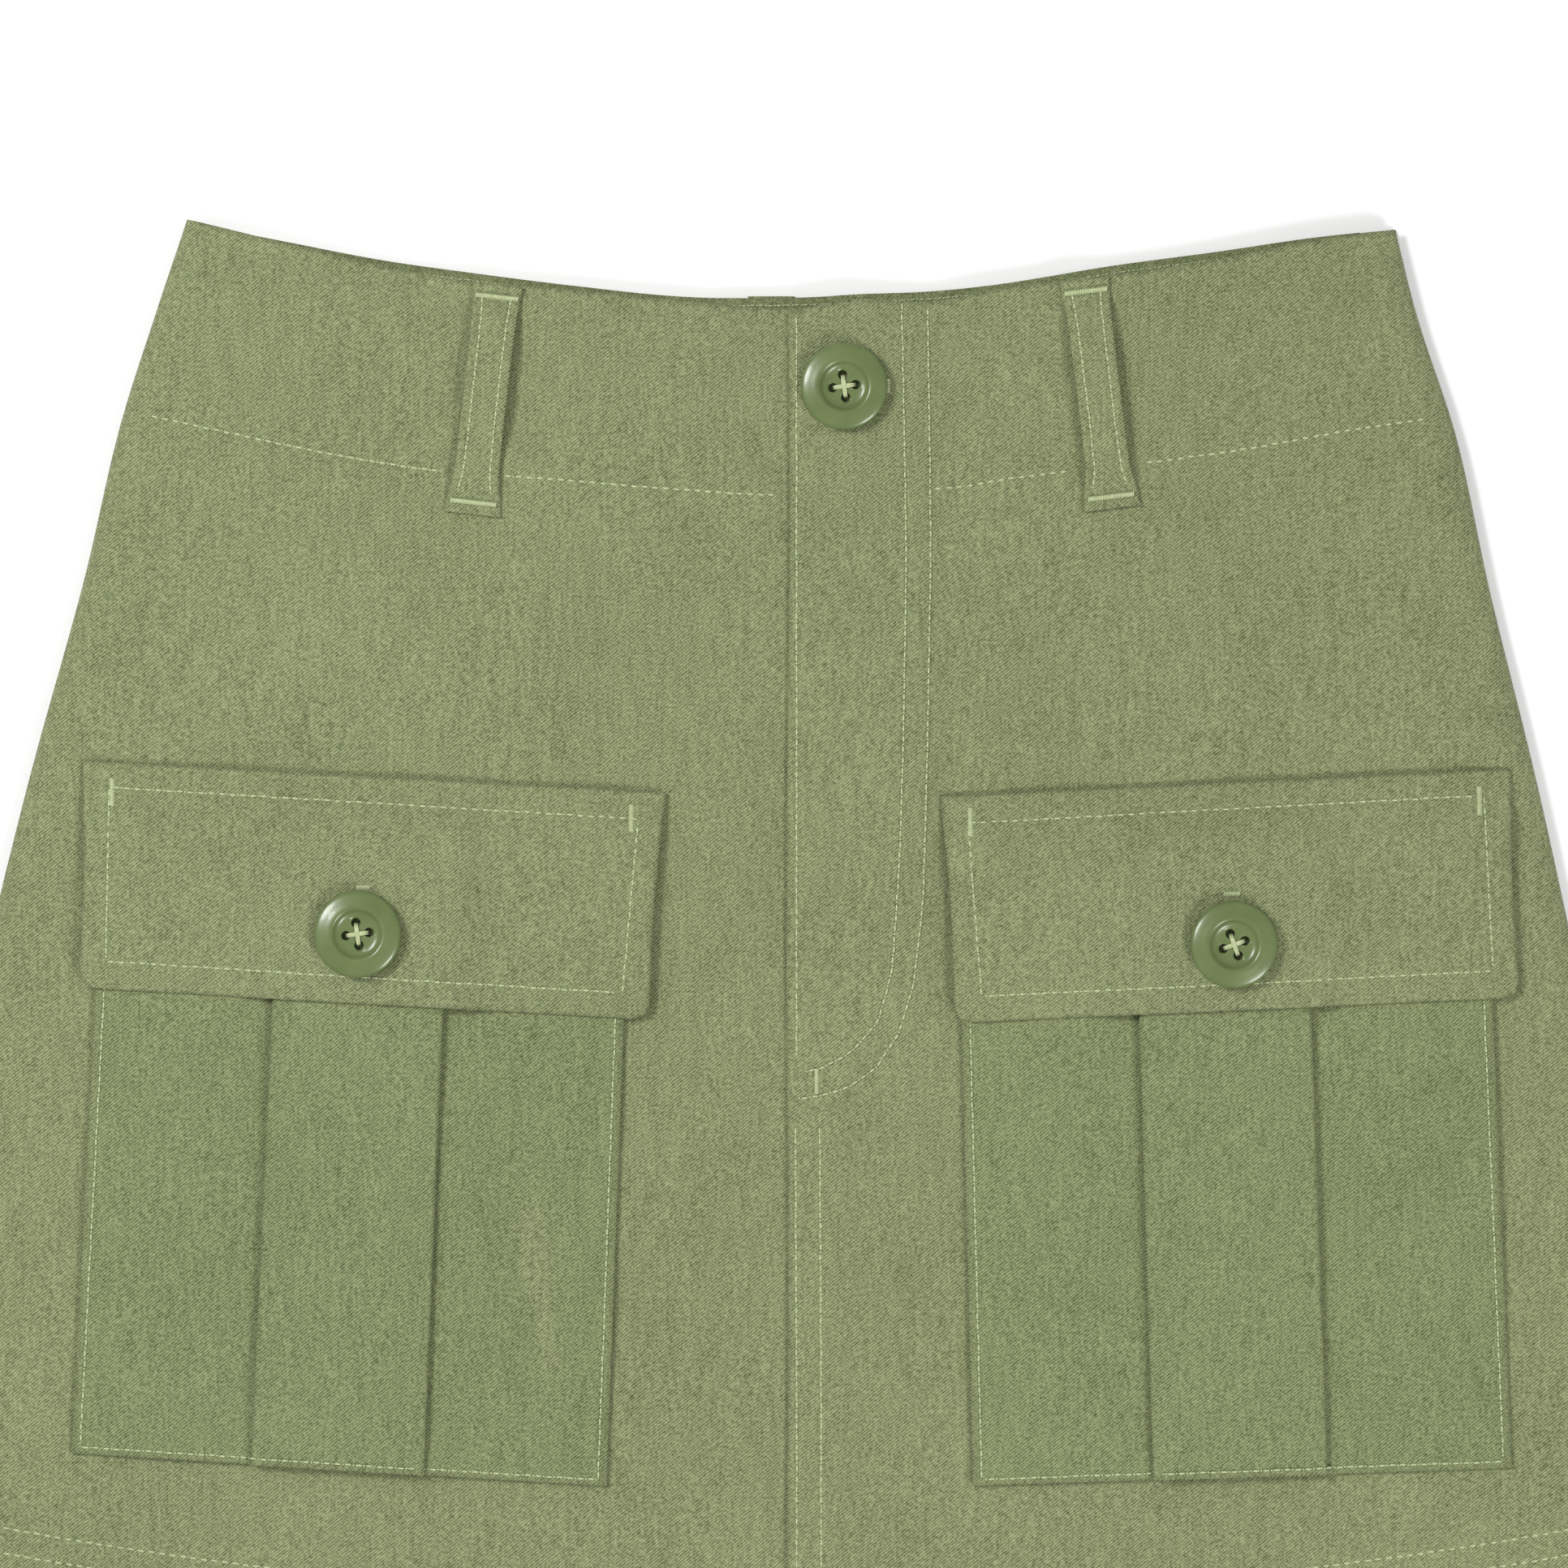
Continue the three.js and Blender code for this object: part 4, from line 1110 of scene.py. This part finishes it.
# %% Thread cross and finished buttons
def thread_cross(name, centre, turn):
    shape = bmesh.new()
    for i in range(2):
        angle = math.radians(turn + 90 * i)
        reach = Vector((math.cos(angle), math.sin(angle), 0)) * 2.9 * mm
        lifted = Vector((0, 0, (WELL_THREAD + 0.2 * i) * mm))
        for shift in (-0.3, 0.05, 0.35):
            aside = Vector((-math.sin(angle), math.cos(angle), 0)) * shift * mm + lifted
            add_stitch(shape, centre + aside - reach, centre + aside + reach, 0.26 * mm)
    mesh = bpy.data.meshes.new(name)
    shape.to_mesh(mesh)
    shape.free()
    sewn = bpy.data.objects.new(name, mesh)
    bpy.context.scene.collection.objects.link(sewn)
    dress(sewn, thread)
    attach(sewn, "root")


def make_button(name, node, turn):
    low, high = (Vector(corner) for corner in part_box(node))
    centre = Vector(((low.x + high.x) / 2, (low.y + high.y) / 2, low.z))
    body = button_blank(name)
    drill(body, hole_cutter(turn), centre)
    dress(body, plastic)
    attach(body, "root")
    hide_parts(node)
    thread_cross(name + "_thread", centre, turn)
    print(name, len(body.data.polygons), "faces")


make_button("waist_button", "button_waist", 8)
make_button("pocket_button_right", "button_right", 8)
make_button("pocket_button_left", "button_left", 20)

# %% [markdown]
# ## Floor, light and camera
# A pale floor, a broad soft light from above and a bright even surround. The camera looks
# straight down at the upper part of the garment and crops the hem and the lower corners.

# %% Floor
def pale_floor():
    shape = bmesh.new()
    bmesh.ops.create_grid(shape, x_segments=1, y_segments=1, size=3.0)
    mesh = bpy.data.meshes.new("floor")
    shape.to_mesh(mesh)
    shape.free()
    floor = bpy.data.objects.new("floor", mesh)
    bpy.context.scene.collection.objects.link(floor)
    material = bpy.data.materials.new("pale_floor")
    material.use_nodes = True
    shader = material.node_tree.nodes["Principled BSDF"]
    shader.inputs["Base Color"].default_value = (0.9, 0.9, 0.9, 1)
    shader.inputs["Roughness"].default_value = 0.9
    dress(floor, material)


pale_floor()


# %% Light
def soft_light(name, place, size, power):
    lamp = bpy.data.lights.new(name, "AREA")
    lamp.shape = "DISK"
    lamp.size = size
    lamp.energy = power
    holder = bpy.data.objects.new(name, lamp)
    holder.location = place
    holder.rotation_euler = (Vector((0, 0, 0)) - Vector(place)).to_track_quat("-Z", "Y").to_euler()
    bpy.context.scene.collection.objects.link(holder)


soft_light("key", (-0.9, 0.5, 1.1), 0.5, 17)
soft_light("low_light", (0.9, -1.0, 1.0), 0.6, 17)
world = bpy.data.worlds.new("studio")
world.use_nodes = True
world.node_tree.nodes["Background"].inputs["Color"].default_value = (1, 1, 1, 1)
world.node_tree.nodes["Background"].inputs["Strength"].default_value = 0.5
bpy.context.scene.world = world
bpy.context.scene.view_settings.view_transform = "Standard"

# %% Camera
FRAME = 386.4 * mm         # width of what the camera sees
DISTANCE = 1.5
VIEW_LEFT = 1.8 * mm
VIEW_DOWN = 117.0 * mm
camera_data = bpy.data.cameras.new("camera")
camera_data.sensor_width = 36
camera_data.lens = camera_data.sensor_width * DISTANCE / FRAME
camera = bpy.data.objects.new("camera", camera_data)
camera.location = (CENTRE_X - VIEW_LEFT, WAIST_Y - VIEW_DOWN, DISTANCE + 6 * mm)
bpy.context.scene.collection.objects.link(camera)
bpy.context.scene.camera = camera
print("camera at", tuple(round(c, 3) for c in camera.location))
